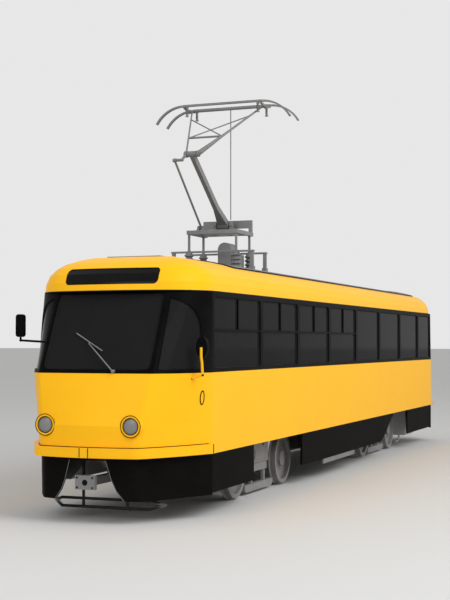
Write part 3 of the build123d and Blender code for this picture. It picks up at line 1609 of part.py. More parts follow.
# Thrust rod: an eye with its pin at the foot, the upper eye beside the lever's end
rod_radius = 15.0
rod_parts = [
    strut(middle_point(rod_foot, rod_y - 58), middle_point(rod_foot, rod_y + 58), rod_pin_radius),
    strut(middle_point(rod_foot, rod_y - 16), middle_point(rod_foot, rod_y + 16), 26.0),
    strut(middle_point(rod_foot, rod_y), middle_point(lever_point, rod_y), rod_radius),
    strut(middle_point(lever_point, rod_y - 22), middle_point(lever_point, rod_y + 22), 26.0),
]
with BuildPart() as thrust_rod:
    add(rod_parts)
save(thrust_rod, "thrust_rod")

# Collector head: two skids with down-turned horns on cross bars that swing on the head tube
skid_rise = 60.0
skid_top = panto_head[1] + skid_rise
skid_thickness = 24.0
skid_width = 50.0
skid_x = 190.0
skid_flat_half = 600.0
horn_radius = 503.0
horn_angle = 59.8
bracket_y = 590.0
bracket_width = 24.0
head_x, head_z = panto_head
with BuildPart() as collector_head:
    for side in (1, -1):
        with BuildSketch(Plane.YZ.offset(head_x + side * skid_x - skid_width / 2)):
            low_radius = horn_radius - skid_thickness
            centre_z = skid_top - horn_radius
            with BuildLine():
                for end, first in ((1, 90), (-1, 90)):
                    centre = (end * skid_flat_half, centre_z)
                    CenterArc(centre, horn_radius, first, -end * horn_angle)
                    CenterArc(centre, low_radius, first, -end * horn_angle)
                    tip = radians(90 - end * horn_angle)
                    tip_points = [
                        (centre[0] + r * cos(tip), centre[1] + r * sin(tip)) for r in (low_radius, horn_radius)
                    ]
                    Line(*tip_points)
                Line((-skid_flat_half, skid_top), (skid_flat_half, skid_top))
                Line((-skid_flat_half, skid_top - skid_thickness), (skid_flat_half, skid_top - skid_thickness))
            make_face()
        extrude(amount=skid_width)
    for side in (1, -1):
        low_y = side * bracket_y - bracket_width / 2
        with BuildSketch(Plane.XZ.offset(-low_y)):
            with BuildLine():
                Polyline(
                    (head_x - skid_x - 15, skid_top - skid_thickness + 2),
                    (head_x - skid_x - 15, skid_top - skid_thickness - 24),
                    (head_x - 30, head_z - 14),
                    (head_x + 30, head_z - 14),
                    (head_x + skid_x + 15, skid_top - skid_thickness - 24),
                    (head_x + skid_x + 15, skid_top - skid_thickness + 2),
                    (head_x + 40, head_z + 22),
                    (head_x - 40, head_z + 22),
                    (head_x - skid_x - 15, skid_top - skid_thickness + 2),
                )
            make_face()
            with Locations(panto_head):
                Circle(34)
            with Locations(panto_head):
                Circle(head_pin_radius + running_gap, mode=Mode.SUBTRACT)
        extrude(amount=-bracket_width)
save(collector_head, "collector_head")
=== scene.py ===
# %% [markdown]
# # A four-axle tram car, dressed in Blender
# The solids of the car come in as a fixed frame, in metres, with X forward, Y to the left and Z up.
# Everything below either gives those solids a finish or adds the small things that solids leave
# out: rubbers, rims, strips, bolts and the rope of the pantograph. We start with the frame itself.

# %% Load the frame
from math import atan2, cos, pi, radians, sin

import bmesh
import bpy
from mathutils import Matrix, Vector


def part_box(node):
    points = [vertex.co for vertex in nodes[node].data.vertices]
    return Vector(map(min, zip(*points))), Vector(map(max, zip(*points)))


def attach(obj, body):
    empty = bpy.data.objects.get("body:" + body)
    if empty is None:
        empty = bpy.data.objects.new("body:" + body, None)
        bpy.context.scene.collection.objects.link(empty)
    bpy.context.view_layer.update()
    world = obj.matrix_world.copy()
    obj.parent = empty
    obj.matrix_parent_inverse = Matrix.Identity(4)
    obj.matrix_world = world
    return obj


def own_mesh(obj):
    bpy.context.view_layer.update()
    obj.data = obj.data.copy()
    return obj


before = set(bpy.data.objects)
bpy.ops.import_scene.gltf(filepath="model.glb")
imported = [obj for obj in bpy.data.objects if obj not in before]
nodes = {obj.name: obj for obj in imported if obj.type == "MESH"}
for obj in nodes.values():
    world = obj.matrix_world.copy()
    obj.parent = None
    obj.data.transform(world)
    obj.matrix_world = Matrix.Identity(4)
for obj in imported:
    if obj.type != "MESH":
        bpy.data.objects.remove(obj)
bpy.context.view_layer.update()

# %% [markdown]
# ## The camera
# The picture was taken from the left and ahead, a little above the rails, with a long lens that
# looks slightly upward. A camera needs a place, a direction and a focal length, and the long side
# of the picture is 36 mm wide on the sensor. The direction is turned into a rotation with
# `to_track_quat`, which saves working out the angles by hand.

# %% Camera
scene = bpy.context.scene
turn_left = radians(21.06)
look_up = radians(1.97)
sight = Vector((-cos(turn_left) * cos(look_up), -sin(turn_left) * cos(look_up), sin(look_up)))
camera_data = bpy.data.cameras.new("camera")
camera_data.lens = 74.8
camera_data.sensor_width = 36.0
camera_data.clip_end = 2000.0
camera = bpy.data.objects.new("camera", camera_data)
camera.location = (19.285, 6.44, 2.015)
camera.rotation_euler = sight.to_track_quat("-Z", "Y").to_euler()
scene.collection.objects.link(camera)
scene.camera = camera
scene.view_settings.view_transform = "Standard"
print("camera", tuple(round(v, 3) for v in camera.rotation_euler))

# %% [markdown]
# ## Shader maths as Python
# A material in Blender is a small network of nodes. Wiring them by hand is slow to read, so one
# class wraps a socket and lets ordinary signs make the Math nodes: `1 - mask * 0.5` is two
# nodes. Only the signs that this script uses are written.


# %% A socket that can be added and multiplied
class Field:
    """A number that varies over a surface: the output of some node."""

    def __init__(self, book, socket):
        self.book = book
        self.socket = socket

    def maths(self, operation, other, swap=False):
        a, b = (other, self) if swap else (self, other)
        return self.book.node("ShaderNodeMath", {"operation": operation}, {0: a, 1: b})

    def __add__(self, other):
        return self.maths("ADD", other)

    __radd__ = __add__

    def __mul__(self, other):
        return self.maths("MULTIPLY", other)

    __rmul__ = __mul__

    def __sub__(self, other):
        return self.maths("SUBTRACT", other)

    def __rsub__(self, other):
        return self.maths("SUBTRACT", other, swap=True)

    def __truediv__(self, other):
        return self.maths("DIVIDE", other)

    def clamp(self):
        return self.book.node("ShaderNodeClamp", {}, {0: self})

    def above(self, edge, width):
        """0 below edge, 1 above edge + width, a straight slope between."""
        return ((self - edge) / width).clamp()


print("fields can be added, subtracted, multiplied and divided")

# %% [markdown]
# ## A book of nodes
# The second class holds one material. Its `node` method makes any node from its type, its settings
# and its inputs, so the rest of the script never links sockets by hand. Patterns read Object
# coordinates: they stay on the piece when it moves, and every solid shares one scale in metres.


# %% One material and its nodes
class Book:
    """One material and the nodes it is made of."""

    def __init__(self, name):
        self.material = bpy.data.materials.new(name)
        self.material.use_nodes = True
        self.tree = self.material.node_tree
        self.shader = self.tree.nodes["Principled BSDF"]
        self.place = self.node("ShaderNodeTexCoord", {}, {}, output="Object")

    def node(self, kind, settings, inputs, output=0):
        made = self.tree.nodes.new(kind)
        for key, value in settings.items():
            setattr(made, key, value)
        for key, value in inputs.items():
            self.feed(made.inputs[key], value)
        return Field(self, made.outputs[output])

    def feed(self, socket, value):
        """Link a field into a socket, or set the socket's own value."""
        if isinstance(value, Field):
            self.tree.links.new(value.socket, socket)
        elif isinstance(value, tuple) and len(value) == 3 and socket.type == "RGBA":
            socket.default_value = (*value, 1.0)
        else:
            socket.default_value = value

    def set(self, **values):
        for key, value in values.items():
            self.feed(self.shader.inputs[key.replace("_", " ")], value)

    def noise(self, scale, detail=3.0, roughness=0.5, place=None):
        inputs = {"Vector": place or self.place, "Scale": scale, "Detail": detail, "Roughness": roughness}
        return self.node("ShaderNodeTexNoise", {}, inputs)

    def stretched(self, x, y, z):
        return self.node("ShaderNodeMapping", {}, {"Vector": self.place, "Scale": (x, y, z)})

    def mix(self, factor, a, b):
        """Blend two colours: the colour sockets of a Mix node are inputs 6 and 7."""
        inputs = {"Factor": factor, 6: a, 7: b}
        return self.node("ShaderNodeMix", {"data_type": "RGBA"}, inputs, output=2)

    def along(self, axis):
        """Where a point lies along X, Y or Z, in metres."""
        return self.node("ShaderNodeSeparateXYZ", {}, {0: self.place}, output=axis)

    def bump(self, height, strength, distance):
        inputs = {"Height": height, "Strength": strength, "Distance": distance}
        self.set(Normal=self.node("ShaderNodeBump", {}, inputs))


print("shader helpers ready")

# %% [markdown]
# ## Finishes
# Every surface of a working tram carries the same story: clean paint at eye level, a veil of
# brown road and brake dust low down, and slight unevenness everywhere. So all finishes but the
# glass share one recipe: a colour, a slightly different colour mixed in by noise, dust that
# thickens towards the rails, and a fine bump. `grain` says how fine the noise is, `depth` how deep
# its bump, `dust` how thick the veil and `shine` how strongly the surface mirrors.
#
# A door leaf and the cab's partition are single solids, pane and frame together. Their panes lie
# at one depth, so a mask on that depth and on the height paints just the pane near black: tinted
# glass with painted shade of the dim saloon behind it. The other way would be a second solid for each
# pane.

# %% The shared recipe
finishes = {}
dust_colour = (0.16, 0.12, 0.085)
dust_low = 0.25
dust_rise = 0.9
# Near black for a pane: its own tint, and painted shade of the dim saloon seen through it.
pane_tint_and_shade = (0.013, 0.013, 0.014)
pane_roughness = 0.06
pane_half = 0.004


def slab(book, axis, plane, low, high):
    """1 within 4 mm of a plane across an axis and between two heights, 0 elsewhere."""
    across = book.along(axis) - plane
    near = 1 - (across * across).above(pane_half**2, 0.000001)
    z = book.along("Z")
    return near * z.above(low, 0.001) * (1 - z.above(high, 0.001))


def finish(
    name, colour, second, roughness,
    metallic=0.0, grain=60.0, depth=0.0004, dust=0.25, shine=0.5, stretch=None, pane=None,
):
    """A worn surface: two tones, dust that thickens towards the rails and a fine grain."""
    book = Book(name)
    place = book.stretched(*stretch) if stretch else book.place
    patches = book.noise(2.3, 4.0, 0.6)
    fine = book.noise(grain, 3.0, 0.6, place)
    tone = (patches * 0.7 + fine * 0.3).above(0.38, 0.26)
    painted = book.mix(tone, colour, second)
    low = 1 - book.along("Z").above(dust_low, dust_rise)
    film = ((patches * 0.6 + 0.4) * low * dust).clamp()
    shown = book.mix(film, painted, dust_colour)
    rough = (roughness + fine * 0.08 + film * 0.5 - 0.04).clamp()
    if pane:
        mask = slab(book, *pane)
        shown = book.mix(mask, shown, pane_tint_and_shade)
        rough = rough * (1 - mask) + pane_roughness * mask
    book.set(Base_Color=shown, Roughness=rough)
    book.set(Metallic=metallic * (1 - film) if metallic else 0.0)
    book.shader.inputs["Specular IOR Level"].default_value = shine
    book.bump(fine, 0.35, depth)
    finishes[name] = book.material


def grey(level):
    """A colour with no hue."""
    return (level, level, level)


print("dust reaches up to", dust_low + dust_rise, "m")

# %% [markdown]
# ## Paints
# The car is sprayed in a warm yellow and a deep black. Under a bright sky a glossy coat mirrors so
# much white that yellow turns pale and black turns grey, so the paints get a low `shine` instead
# of darker colours, and a broad grain like the slight orange peel of sprayed paint. The chassis
# is rougher and dustier, and the cab's inside is clean.

# %% Paints
YELLOW = ((1.0, 0.515, 0.014), (0.985, 0.50, 0.013))
BLACK = ((0.0022, 0.0022, 0.0024), (0.004, 0.004, 0.0042))
CREAM = ((0.50, 0.47, 0.40), (0.44, 0.41, 0.35))
leaf_plane = -1.074
leaf_pane_low = 1.692
leaf_pane_high = 2.432
leaf_pane = ("Y", leaf_plane, leaf_pane_low, leaf_pane_high)
partition_pane = ("X", 5.010, 1.672, 2.455)
finish("yellow_paint", *YELLOW, 0.34, grain=9.0, depth=0.0006, dust=0.03, shine=0.04)
finish("door_paint", *YELLOW, 0.34, grain=9.0, depth=0.0006, dust=0.03, shine=0.04, pane=leaf_pane)
finish("black_paint", *BLACK, 0.42, grain=12.0, depth=0.0005, dust=0.01, shine=0.02)
finish("skirt_black", *BLACK, 0.60, grain=18.0, depth=0.0008, dust=0.02, shine=0.02)
finish(
    "sign_black", (0.002, 0.002, 0.0025), (0.004, 0.004, 0.0045), 0.25,
    grain=20.0, depth=0.0001, dust=0.0, shine=0.10,
)
finish(
    "chassis_black", (0.022, 0.022, 0.023), (0.045, 0.040, 0.036), 0.7,
    grain=30.0, depth=0.0010, dust=0.3, shine=0.2,
)
finish("partition_cream", *CREAM, 0.5, grain=25.0, dust=0.0, shine=0.3, pane=partition_pane)
finish("desk_grey", (0.10, 0.10, 0.105), (0.07, 0.07, 0.075), 0.55, grain=150.0, dust=0.0)
print(len(finishes), "paints")

# %% [markdown]
# ## Metals
# Painted castings and plates are hardly metallic: their paint hides the metal, and a worn edge
# lets a little through. Bare handrails and steps are fully metallic, and their noise is stretched
# so that it runs along the car like the marks of brushing.

# %% Metals
MID_GREY = ((0.262, 0.260, 0.258), (0.215, 0.212, 0.210))
finish(
    "mast_grey", grey(0.22), grey(0.17), 0.50,
    metallic=0.2, grain=40.0, depth=0.0006, dust=0.0, shine=0.3,
)
finish("bogie_grey", *MID_GREY, 0.62, metallic=0.1, grain=30.0, depth=0.0012, dust=0.15, shine=0.3)
finish("wheel_steel", *MID_GREY, 0.48, metallic=0.3, grain=35.0, depth=0.0008, dust=0.2, shine=0.3)
finish(
    "plate_grey", grey(0.21), grey(0.17), 0.5,
    metallic=0.1, grain=50.0, depth=0.0010, dust=0.1, shine=0.3,
)
# This grey is painted light: far paler than the parts' own grey, so that the sand box, its pipe and the
# rear bumper look light grey in the shade they stand in.
finish(
    "shade_lifted_grey", (0.66, 0.66, 0.655), (0.58, 0.58, 0.575), 0.55,
    metallic=0.1, grain=45.0, depth=0.0010, dust=0.1, shine=0.3,
)
finish(
    "bare_steel", (0.52, 0.52, 0.51), (0.42, 0.42, 0.41), 0.28,
    metallic=1.0, grain=160.0, depth=0.0002, dust=0.1, stretch=(1.0, 12.0, 12.0),
)
finish(
    "cast_black", grey(0.010), (0.020, 0.018, 0.017), 0.6,
    grain=70.0, depth=0.0015, dust=0.06, shine=0.2,
)
print(len(finishes), "finishes with the metals")

# %% [markdown]
# ## Rubber, plastic, lamps and the roof
# Rubber is rough and nearly black, and the roof mat is the roughest of all. Moulded seats are
# smoother, and glazed insulators are glossy. The wire sweeps from side to side and wears the
# carbon in lines across the car, so its noise is stretched that way. A lamp could be clear glass
# over a mirror, but these are unlit and look like flat discs, so a smooth grey or red is enough.

# %% Rubber, plastic and lamps
finish("rubber_black", grey(0.006), grey(0.012), 0.65, grain=120.0, depth=0.0003, dust=0.03, shine=0.15)
finish("roof_grey", grey(0.27), grey(0.21), 0.8, grain=90.0, depth=0.0012, dust=0.0, shine=0.2)
finish("seat_shell", (0.20, 0.085, 0.035), (0.15, 0.060, 0.025), 0.4, grain=80.0, depth=0.0005, dust=0.0)
finish("glazed_grey", grey(0.20), grey(0.15), 0.16, grain=15.0, depth=0.0002, dust=0.0)
finish("carbon", (0.018, 0.018, 0.019), grey(0.05), 0.5, depth=0.0006, dust=0.0, stretch=(30.0, 1.0, 1.0))
finish("lamp_grey", grey(0.20), grey(0.24), 0.22, grain=30.0, depth=0.0003, dust=0.0, shine=0.4)
finish("lamp_red", (0.42, 0.012, 0.010), (0.30, 0.008, 0.008), 0.15, grain=40.0, depth=0.0005, dust=0.0)
finish("light_strip", (0.80, 0.80, 0.76), (0.74, 0.74, 0.70), 0.35, grain=40.0, depth=0.0003, dust=0.0)
# This near black is painted shade: the dark of the narrow gaps round markers, lamps, bumpers and skirt
# panels.
finish("gap_shade_brown", (0.012, 0.006, 0.004), (0.008, 0.004, 0.003), 0.6, depth=0.0003, dust=0.0, shine=0.05)
print(len(finishes), "finishes but for the glass")

# %% [markdown]
# ## Glass
# Tram glass is lightly tinted and seen against a dark saloon, so from outside it reads as dark
# grey with soft reflections. A clear glass shader would need a lit, finished saloon behind it to
# look right. Here a Principled shader mixes a third of transmission into a nearly black base,
# and a low IOR keeps the sky's reflection weak. A faint bump bends that reflection a little.

# %% Tinted glass
glass = Book("window_glass")
haze = glass.noise(1.7, 3.0, 0.6)
glass.set(Base_Color=glass.mix(haze, (0.018, 0.018, 0.019), (0.026, 0.026, 0.027)))
glass.set(Roughness=(haze * 0.05 + 0.03).clamp())
glass.shader.inputs["Transmission Weight"].default_value = 0.35
glass.shader.inputs["IOR"].default_value = 1.05
glass.bump(glass.noise(0.9, 1.0, 0.4), 0.15, 0.002)
finishes["window_glass"] = glass.material
print(len(finishes), "finishes in all")

# %% [markdown]
# ## Which finish goes on which solid
# A table keeps this readable. The solids already have a material slot each, so a finish is put
# into the slot and nothing about the mesh changes. The two bogies' solids are named alike, so a
# loop adds them. What is then still without a finish is a door leaf.

# %% Dress the solids
dress = {
    "yellow_paint": "side_panel_left side_panel_right front_panel rear_panel roof lamp_rings front_bumper",
    "black_paint": "window_band_left window_band_right front_window_frame rear_window_frame mirrors",
    "skirt_black": "skirts aprons",
    "window_glass": "end_glass side_glass",
    "sign_black": "destination_box",
    "roof_grey": "roof_mat",
    "lamp_grey": "lamp_lenses",
    "lamp_red": "tail_lamps",
    "seat_shell": "seats",
    "bare_steel": "handrails door_steps",
    "partition_cream": "cab_partition",
    "desk_grey": "cab_fittings",
    "chassis_black": "underframe",
    "cast_black": "lifeguard",
    "mast_grey": "panto_base panto_drive lower_arm upper_arm thrust_rod collector_head wiper",
    "plate_grey": "couplers",
    # The rear bumper takes the grey that is painted paler against its shade.
    "shade_lifted_grey": "rear_bumper",
    "glazed_grey": "panto_insulators",
}
worn = {node: look for look, names in dress.items() for node in names.split()}
for bogie in ("front", "rear"):
    worn |= {f"{bogie}_{part}": "bogie_grey" for part in ("bogie_frame", "bogie_motors", "rail_brakes")}
    worn |= {f"{bogie}_bogie_{end}_wheelset": "wheel_steel" for end in ("leading", "trailing")}
for name, thing in nodes.items():
    look = worn.get(name, "door_paint")
    thing.data.materials.clear()
    thing.data.materials.append(finishes[look])
print(len(worn), "nodes have a finish of their own, the other", len(nodes) - len(worn), "are door leaves")

# %% [markdown]
# ## From a mesh to a piece of the car
# The trim comes from a few helpers. Each piece is an object at the origin with its place in its
# mesh, and it rides on a body of the car, so it moves with the bogie, door or arm that it belongs
# to. `piece` finishes a bmesh: it can round the sharp edges off, and it turns the faces outwards.


# %% Pieces that ride on a body
def settle(name, mesh, look, body, smooth):
    """Give a mesh its finish and let it ride on a body."""
    for polygon in mesh.polygons:
        polygon.use_smooth = smooth
    mesh.materials.clear()
    mesh.materials.append(finishes[look])
    thing = bpy.data.objects.new(name, mesh)
    scene.collection.objects.link(thing)
    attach(thing, body)
    return thing


def piece(name, bm, look, body="car_body", round_off=0.0, smooth=False):
    """Turn a finished bmesh into a piece, its edges rounded off if asked."""
    if round_off:
        edges = [edge for edge in bm.edges if edge.calc_face_angle(0.0) > 0.5]
        bmesh.ops.bevel(
            bm, geom=edges, offset=round_off, segments=2, profile=0.5, affect="EDGES", material=-1,
        )
    bmesh.ops.recalc_face_normals(bm, faces=bm.faces)
    mesh = bpy.data.meshes.new(name)
    bm.to_mesh(mesh)
    bm.free()
    return settle(name, mesh, look, body, smooth)


# %% [markdown]
# ## Rods and blocks
# Bolts, stems and bars are cylinders and boxes. Blender's create operators make both around the
# origin, and a matrix carries them to their place. A rod's matrix turns Z into its own direction.


# %% Rods and blocks
def rod(bm, start, end, radius, sides):
    """A round bar between two points."""
    start, end = Vector(start), Vector(end)
    turn = (end - start).to_track_quat("Z", "Y").to_matrix().to_4x4()
    place = Matrix.Translation((start + end) / 2) @ turn
    size = {"radius1": radius, "radius2": radius, "depth": (end - start).length}
    bmesh.ops.create_cone(bm, cap_ends=True, segments=sides, matrix=place, **size)


def block(bm, low, high):
    """A box between two corners."""
    low, high = Vector(low), Vector(high)
    place = Matrix.Translation((low + high) / 2) @ Matrix.Diagonal((*(high - low), 1.0))
    bmesh.ops.create_cube(bm, size=1.0, matrix=place)


print("rods and blocks ready")

# %% [markdown]
# ## Strips along a path
# Rubbers, rails, springs and ropes are round strips that follow a path. A circle could be extruded
# along it step by step, but a curve with a bevel does the same in one go and mitres its own bends.
# It is turned into a mesh at once, so that every piece of the car is a mesh. A second helper
# gives the path round a window with round corners.


# %% Strips and window outlines
def tubes(name, paths, radius, look, body="car_body", closed=True, resolution=2):
    """Round strips along paths, all in one piece."""
    curve = bpy.data.curves.new(name, "CURVE")
    curve.dimensions = "3D"
    curve.bevel_depth = radius
    curve.bevel_resolution = resolution
    curve.use_fill_caps = not closed
    for path in paths:
        spline = curve.splines.new("POLY")
        spline.points.add(len(path) - 1)
        spline.use_cyclic_u = closed
        for point, place in zip(spline.points, path):
            point.co = (*place, 1.0)
    carrier = bpy.data.objects.new(name + "_curve", curve)
    mesh = bpy.data.meshes.new_from_object(carrier)
    bpy.data.objects.remove(carrier)
    bpy.data.curves.remove(curve)
    mesh.name = name
    return settle(name, mesh, look, body, True)


def window_path(left, right, bottom, top, corner, inset, steps=6):
    """Points round a window with round corners, drawn in by an inset, as (along, height) pairs."""
    left, right = left + inset, right - inset
    bottom, top = bottom + inset, top - inset
    corner -= inset
    corners = ((right - corner, top - corner, 0), (left + corner, top - corner, 90))
    corners += ((left + corner, bottom + corner, 180), (right - corner, bottom + corner, 270))
    points = []
    for x, z, first in corners:
        for i in range(steps + 1):
            angle = radians(first + 90 * i / steps)
            points.append((x + corner * cos(angle), z + corner * sin(angle)))
    return points


print("strips ready")

# %% [markdown]
# ## Where the side windows are
# The left wall has eight panes: six between seven posts at an even pitch, and one beyond the posts
# at each end. The doors cut the right wall, so its windows come as one pane at the rear and two
# bays of three. Working the panes out from the posts keeps rubber and wall together.

# %% Side windows
window_low = 1.715
window_high = 2.555
window_corner = 0.060
band_front = 5.755
band_rear = -6.435
post_half = 0.0475
first_post = 4.090
pitch = 1.563
posts = [first_post - i * pitch for i in range(7)]
left_panes = [(rear + post_half, front - post_half) for rear, front in zip(posts[1:], posts)]
left_panes += [(posts[0] + post_half, band_front), (band_rear, posts[-1] - post_half)]
right_panes = [(band_rear, -5.765)]
for bay_rear, bay_front in ((0.595, 4.750), (-4.630, -0.445)):
    width = (bay_front - bay_rear - 4 * post_half) / 3
    starts = [bay_rear + i * (width + 2 * post_half) for i in range(3)]
    right_panes += [(start, start + width) for start in starts]
print(len(left_panes), "panes on the left,", len(right_panes), "on the right")

# %% [markdown]
# ## Rubbers round the side windows
# Each pane sits in a black rubber lip. It could be a profile swept round the opening, but at this
# size only its round bead is seen. The bead's path is the window's outline drawn in by its own
# radius, and it lies on the glass, 22 mm inside the wall.

# %% Side window rubbers
glass_face = 1.0777
lip = 0.006
lip_stand = 0.002
paths = []
for side, panes in ((1, left_panes), (-1, right_panes)):
    for rear, front in panes:
        outline = window_path(rear, front, window_low, window_high, window_corner, lip)
        paths.append([(x, side * (glass_face + lip_stand), z) for x, z in outline])
tubes("side_window_rubbers", paths, lip, "rubber_black")
print(len(paths), "side windows have rubbers")

# %% [markdown]
# ## Curves of the car's ends
# The ends are arcs in plan: one round each corner from the side wall to a pillar, and one across
# the nose. A row of numbers holds a height, three points of the corner's arc and the nose's X.
# Between two rows the skin is straight, so two rows make a band. A ray cast on the solid would
# find the skin too, but these few numbers give points that are exactly even.


# %% Arcs in plan
def circle_through(a, b, c):
    """Centre and radius of the circle through three points of a plan."""
    d = 2 * (a[0] * (b[1] - c[1]) + b[0] * (c[1] - a[1]) + c[0] * (a[1] - b[1]))
    squares = [p[0] ** 2 + p[1] ** 2 for p in (a, b, c)]
    x = (squares[0] * (b[1] - c[1]) + squares[1] * (c[1] - a[1]) + squares[2] * (a[1] - b[1])) / d
    y = (squares[0] * (c[0] - b[0]) + squares[1] * (a[0] - c[0]) + squares[2] * (b[0] - a[0])) / d
    centre = Vector((x, y))
    return centre, (Vector(a) - centre).length


def arc_points(a, b, c, steps):
    """Points of the arc through three points of a plan, from the first to the last."""
    centre, radius = circle_through(a, b, c)
    first = Vector(a) - centre
    last = Vector(c) - centre
    angle = atan2(first.x * last.y - first.y * last.x, first.dot(last))
    return [centre + Matrix.Rotation(angle * i / steps, 2) @ first for i in range(steps + 1)]


front_waist = (1.672, (5.820, 1.100), (6.280, 0.987), (6.664, 0.710), 6.715)
front_eaves = (2.615, (5.820, 1.100), (6.045, 0.972), (6.220, 0.710), 6.262)
front_lamps = (1.093, (5.820, 1.100), (6.325, 0.903), (6.800, 0.620), 6.875)
bumper_foot = (0.733, (5.820, 1.100), (6.315, 0.890), (6.790, 0.600), 6.865)
apron_head = (0.758, (5.820, 1.100), (6.300, 0.875), (6.765, 0.590), 6.840)
apron_foot = (0.260, (5.820, 1.100), (6.295, 0.870), (6.740, 0.590), 6.815)
rear_waist = (1.672, (6.475, 1.100), (6.725, 1.007), (6.850, 0.740), 6.875)
rear_eaves = (2.615, (6.475, 1.100), (6.690, 0.985), (6.800, 0.710), 6.840)
rear_bumper_foot = (0.733, (6.475, 1.100), (6.720, 1.002), (6.840, 0.740), 6.870)
FRONT_WINDOWS = (front_waist, front_eaves)
FRONT_PANEL = (front_lamps, front_waist)
FRONT_BUMPER = (bumper_foot, front_lamps)
APRON = (apron_foot, apron_head)
REAR_WINDOWS = (rear_waist, rear_eaves)
REAR_BUMPER = (rear_bumper_foot, rear_waist)
print("radius of the front corner at the waist:", round(circle_through(*front_waist[1:4])[1], 3))

# %% [markdown]
# ## Points on the curved skin
# Three functions give a point of the skin, so that rubbers and rims follow it: `nose_x` across the
# nose, `corner_y` round a corner from the distance along the car, and `corner_x` round a corner
# from the distance to the middle. A corner could be solved as a circle at every height, but 48
# straight steps are within a tenth of a millimetre of it and simple to search.


# %% Points on the ends
def nose_x(band, y, z):
    """X of the nose's skin at a distance from the middle and a height."""
    found = []
    for level, corner, middle, pillar, nose in band:
        centre, radius = circle_through(pillar, (nose, 0.0), (pillar[0], -pillar[1]))
        found.append(centre.x + (radius**2 - y**2) ** 0.5)
    share = (z - band[0][0]) / (band[1][0] - band[0][0])
    return found[0] + share * (found[1] - found[0])


def corner_strip(band, z, steps=48):
    """Points of a corner's skin at one height, from the side wall to the pillar."""
    share = (z - band[0][0]) / (band[1][0] - band[0][0])
    low, high = (arc_points(corner, middle, pillar, steps) for level, corner, middle, pillar, nose in band)
    return [a.lerp(b, share) for a, b in zip(low, high)]


def corner_y(band, x, z):
    """Y of a corner's skin at a distance along the car and a height."""
    strip = corner_strip(band, z)
    for a, b in zip(strip, strip[1:]):
        if a.x <= x <= b.x:
            return a.y + (b.y - a.y) * (x - a.x) / (b.x - a.x)
    return strip[0].y if x < strip[0].x else strip[-1].y


def corner_x(band, y, z):
    """X of a corner's skin at a distance from the middle and a height."""
    strip = corner_strip(band, z)
    for a, b in zip(strip, strip[1:]):
        if b.y <= y <= a.y:
            return a.x + (b.x - a.x) * (a.y - y) / (a.y - b.y)
    return strip[-1].x


print("skin at the front corner:", round(corner_y(FRONT_WINDOWS, 6.0, 1.672), 3))

# %% [markdown]
# ## Rubbers round the end windows
# The windscreen, the rear window and the four corner panes get the same rubber. The two wide
# outlines are drawn flat, as seen from the front, and then laid on the skin, 18 mm inside it.

# %% Windscreen and rear window
lip_inset = 0.018
pane_high = 2.583
top_edge = pane_high - lip
rear_low = 1.755
end_panes = ((FRONT_WINDOWS, 1, 0.675, window_low), (REAR_WINDOWS, -1, 0.690, rear_low))
paths = []
for band, facing, half, low in end_panes:
    outline = window_path(-half, half, low, pane_high, window_corner, lip)
    paths.append([(facing * (nose_x(band, y, z) - lip_inset), y, z) for y, z in outline])
print("windscreen's rubber starts at", tuple(round(v, 3) for v in paths[0][0]))

# %% [markdown]
# ## Rubbers round the corner panes
# A corner pane turns with the corner, so its rubber is drawn as seen from the side: up the rear
# edge, along the top and down the pillar. The pillar leans, so its edge is found from the distance
# to the middle. The front pane's upper rear corner is a wide arc. Each path is moved in by 18 mm
# towards the middle and a little less than half of that along the car, as the skin turns.

# %% Corner panes
corner_inset = lip_inset * 0.4


def corner_window(band, facing, side, rear_edge, pillar_edge, low):
    """Path round a corner pane: up its rear edge, along the top and down the pillar."""
    heights = [low + (top_edge - low) * i / 12 for i in range(13)]
    down = [(corner_x(band, pillar_edge, z), z) for z in reversed(heights)]
    skin = [(x, corner_y(band, x, z), z) for x, z in rear_edge + down]
    return [(facing * (x - corner_inset), side * (y - lip_inset), z) for x, y, z in skin]


corner_rear = 6.025
corner_arc = 0.400
back_rear = 6.560
front_pillar = 0.748
back_pillar = 0.780
for side in (1, -1):
    front_edge = [(corner_rear + lip, window_low + lip)]
    for i in range(10):
        angle = radians(i * 6)
        x = corner_rear + corner_arc - (corner_arc - lip) * cos(angle)
        front_edge.append((x, pane_high - corner_arc + (corner_arc - lip) * sin(angle)))
    paths.append(corner_window(FRONT_WINDOWS, 1, side, front_edge, front_pillar + lip, window_low + lip))
    back_edge = [(back_rear + lip, rear_low + lip), (back_rear + lip, top_edge)]
    paths.append(corner_window(REAR_WINDOWS, -1, side, back_edge, back_pillar + lip, rear_low + lip))
tubes("end_window_rubbers", paths, lip, "rubber_black")
print(len(paths), "end windows have rubbers")

# %% [markdown]
# ## Rain strip
# A thin black strip runs round the car where the yellow roof meets the windows and keeps rain off
# the doors. Its path is the roof's plan: two straight sides, and three arcs at each end. One closed
# strip turns all the corners, where separate bars would show their joints.


# %% Rain strip
def end_plan(corner, middle, pillar, nose, facing):
    """Half a plan, from the left side wall round the end to the right side wall."""
    first = arc_points(corner, middle, pillar, 12)
    centre = arc_points(pillar, (nose, 0.0), (pillar[0], -pillar[1]), 12)
    points = [(p.x, p.y) for p in first + centre[1:-1]]
    points += [(p.x, -p.y) for p in reversed(first)]
    return [(facing * x, y) for x, y in points]


front_plan = end_plan((5.675, 1.100), (6.050, 0.971), (6.265, 0.640), 6.335, 1)
rear_plan = end_plan((6.250, 1.100), (6.674, 0.924), (6.850, 0.510), 6.860, -1)
plan = front_plan + list(reversed(rear_plan))
strip_level = 2.617
tubes("rain_strip", [[(x, y, strip_level) for x, y in plan]], 0.007, "rubber_black")
print(len(plan), "points round the roof")
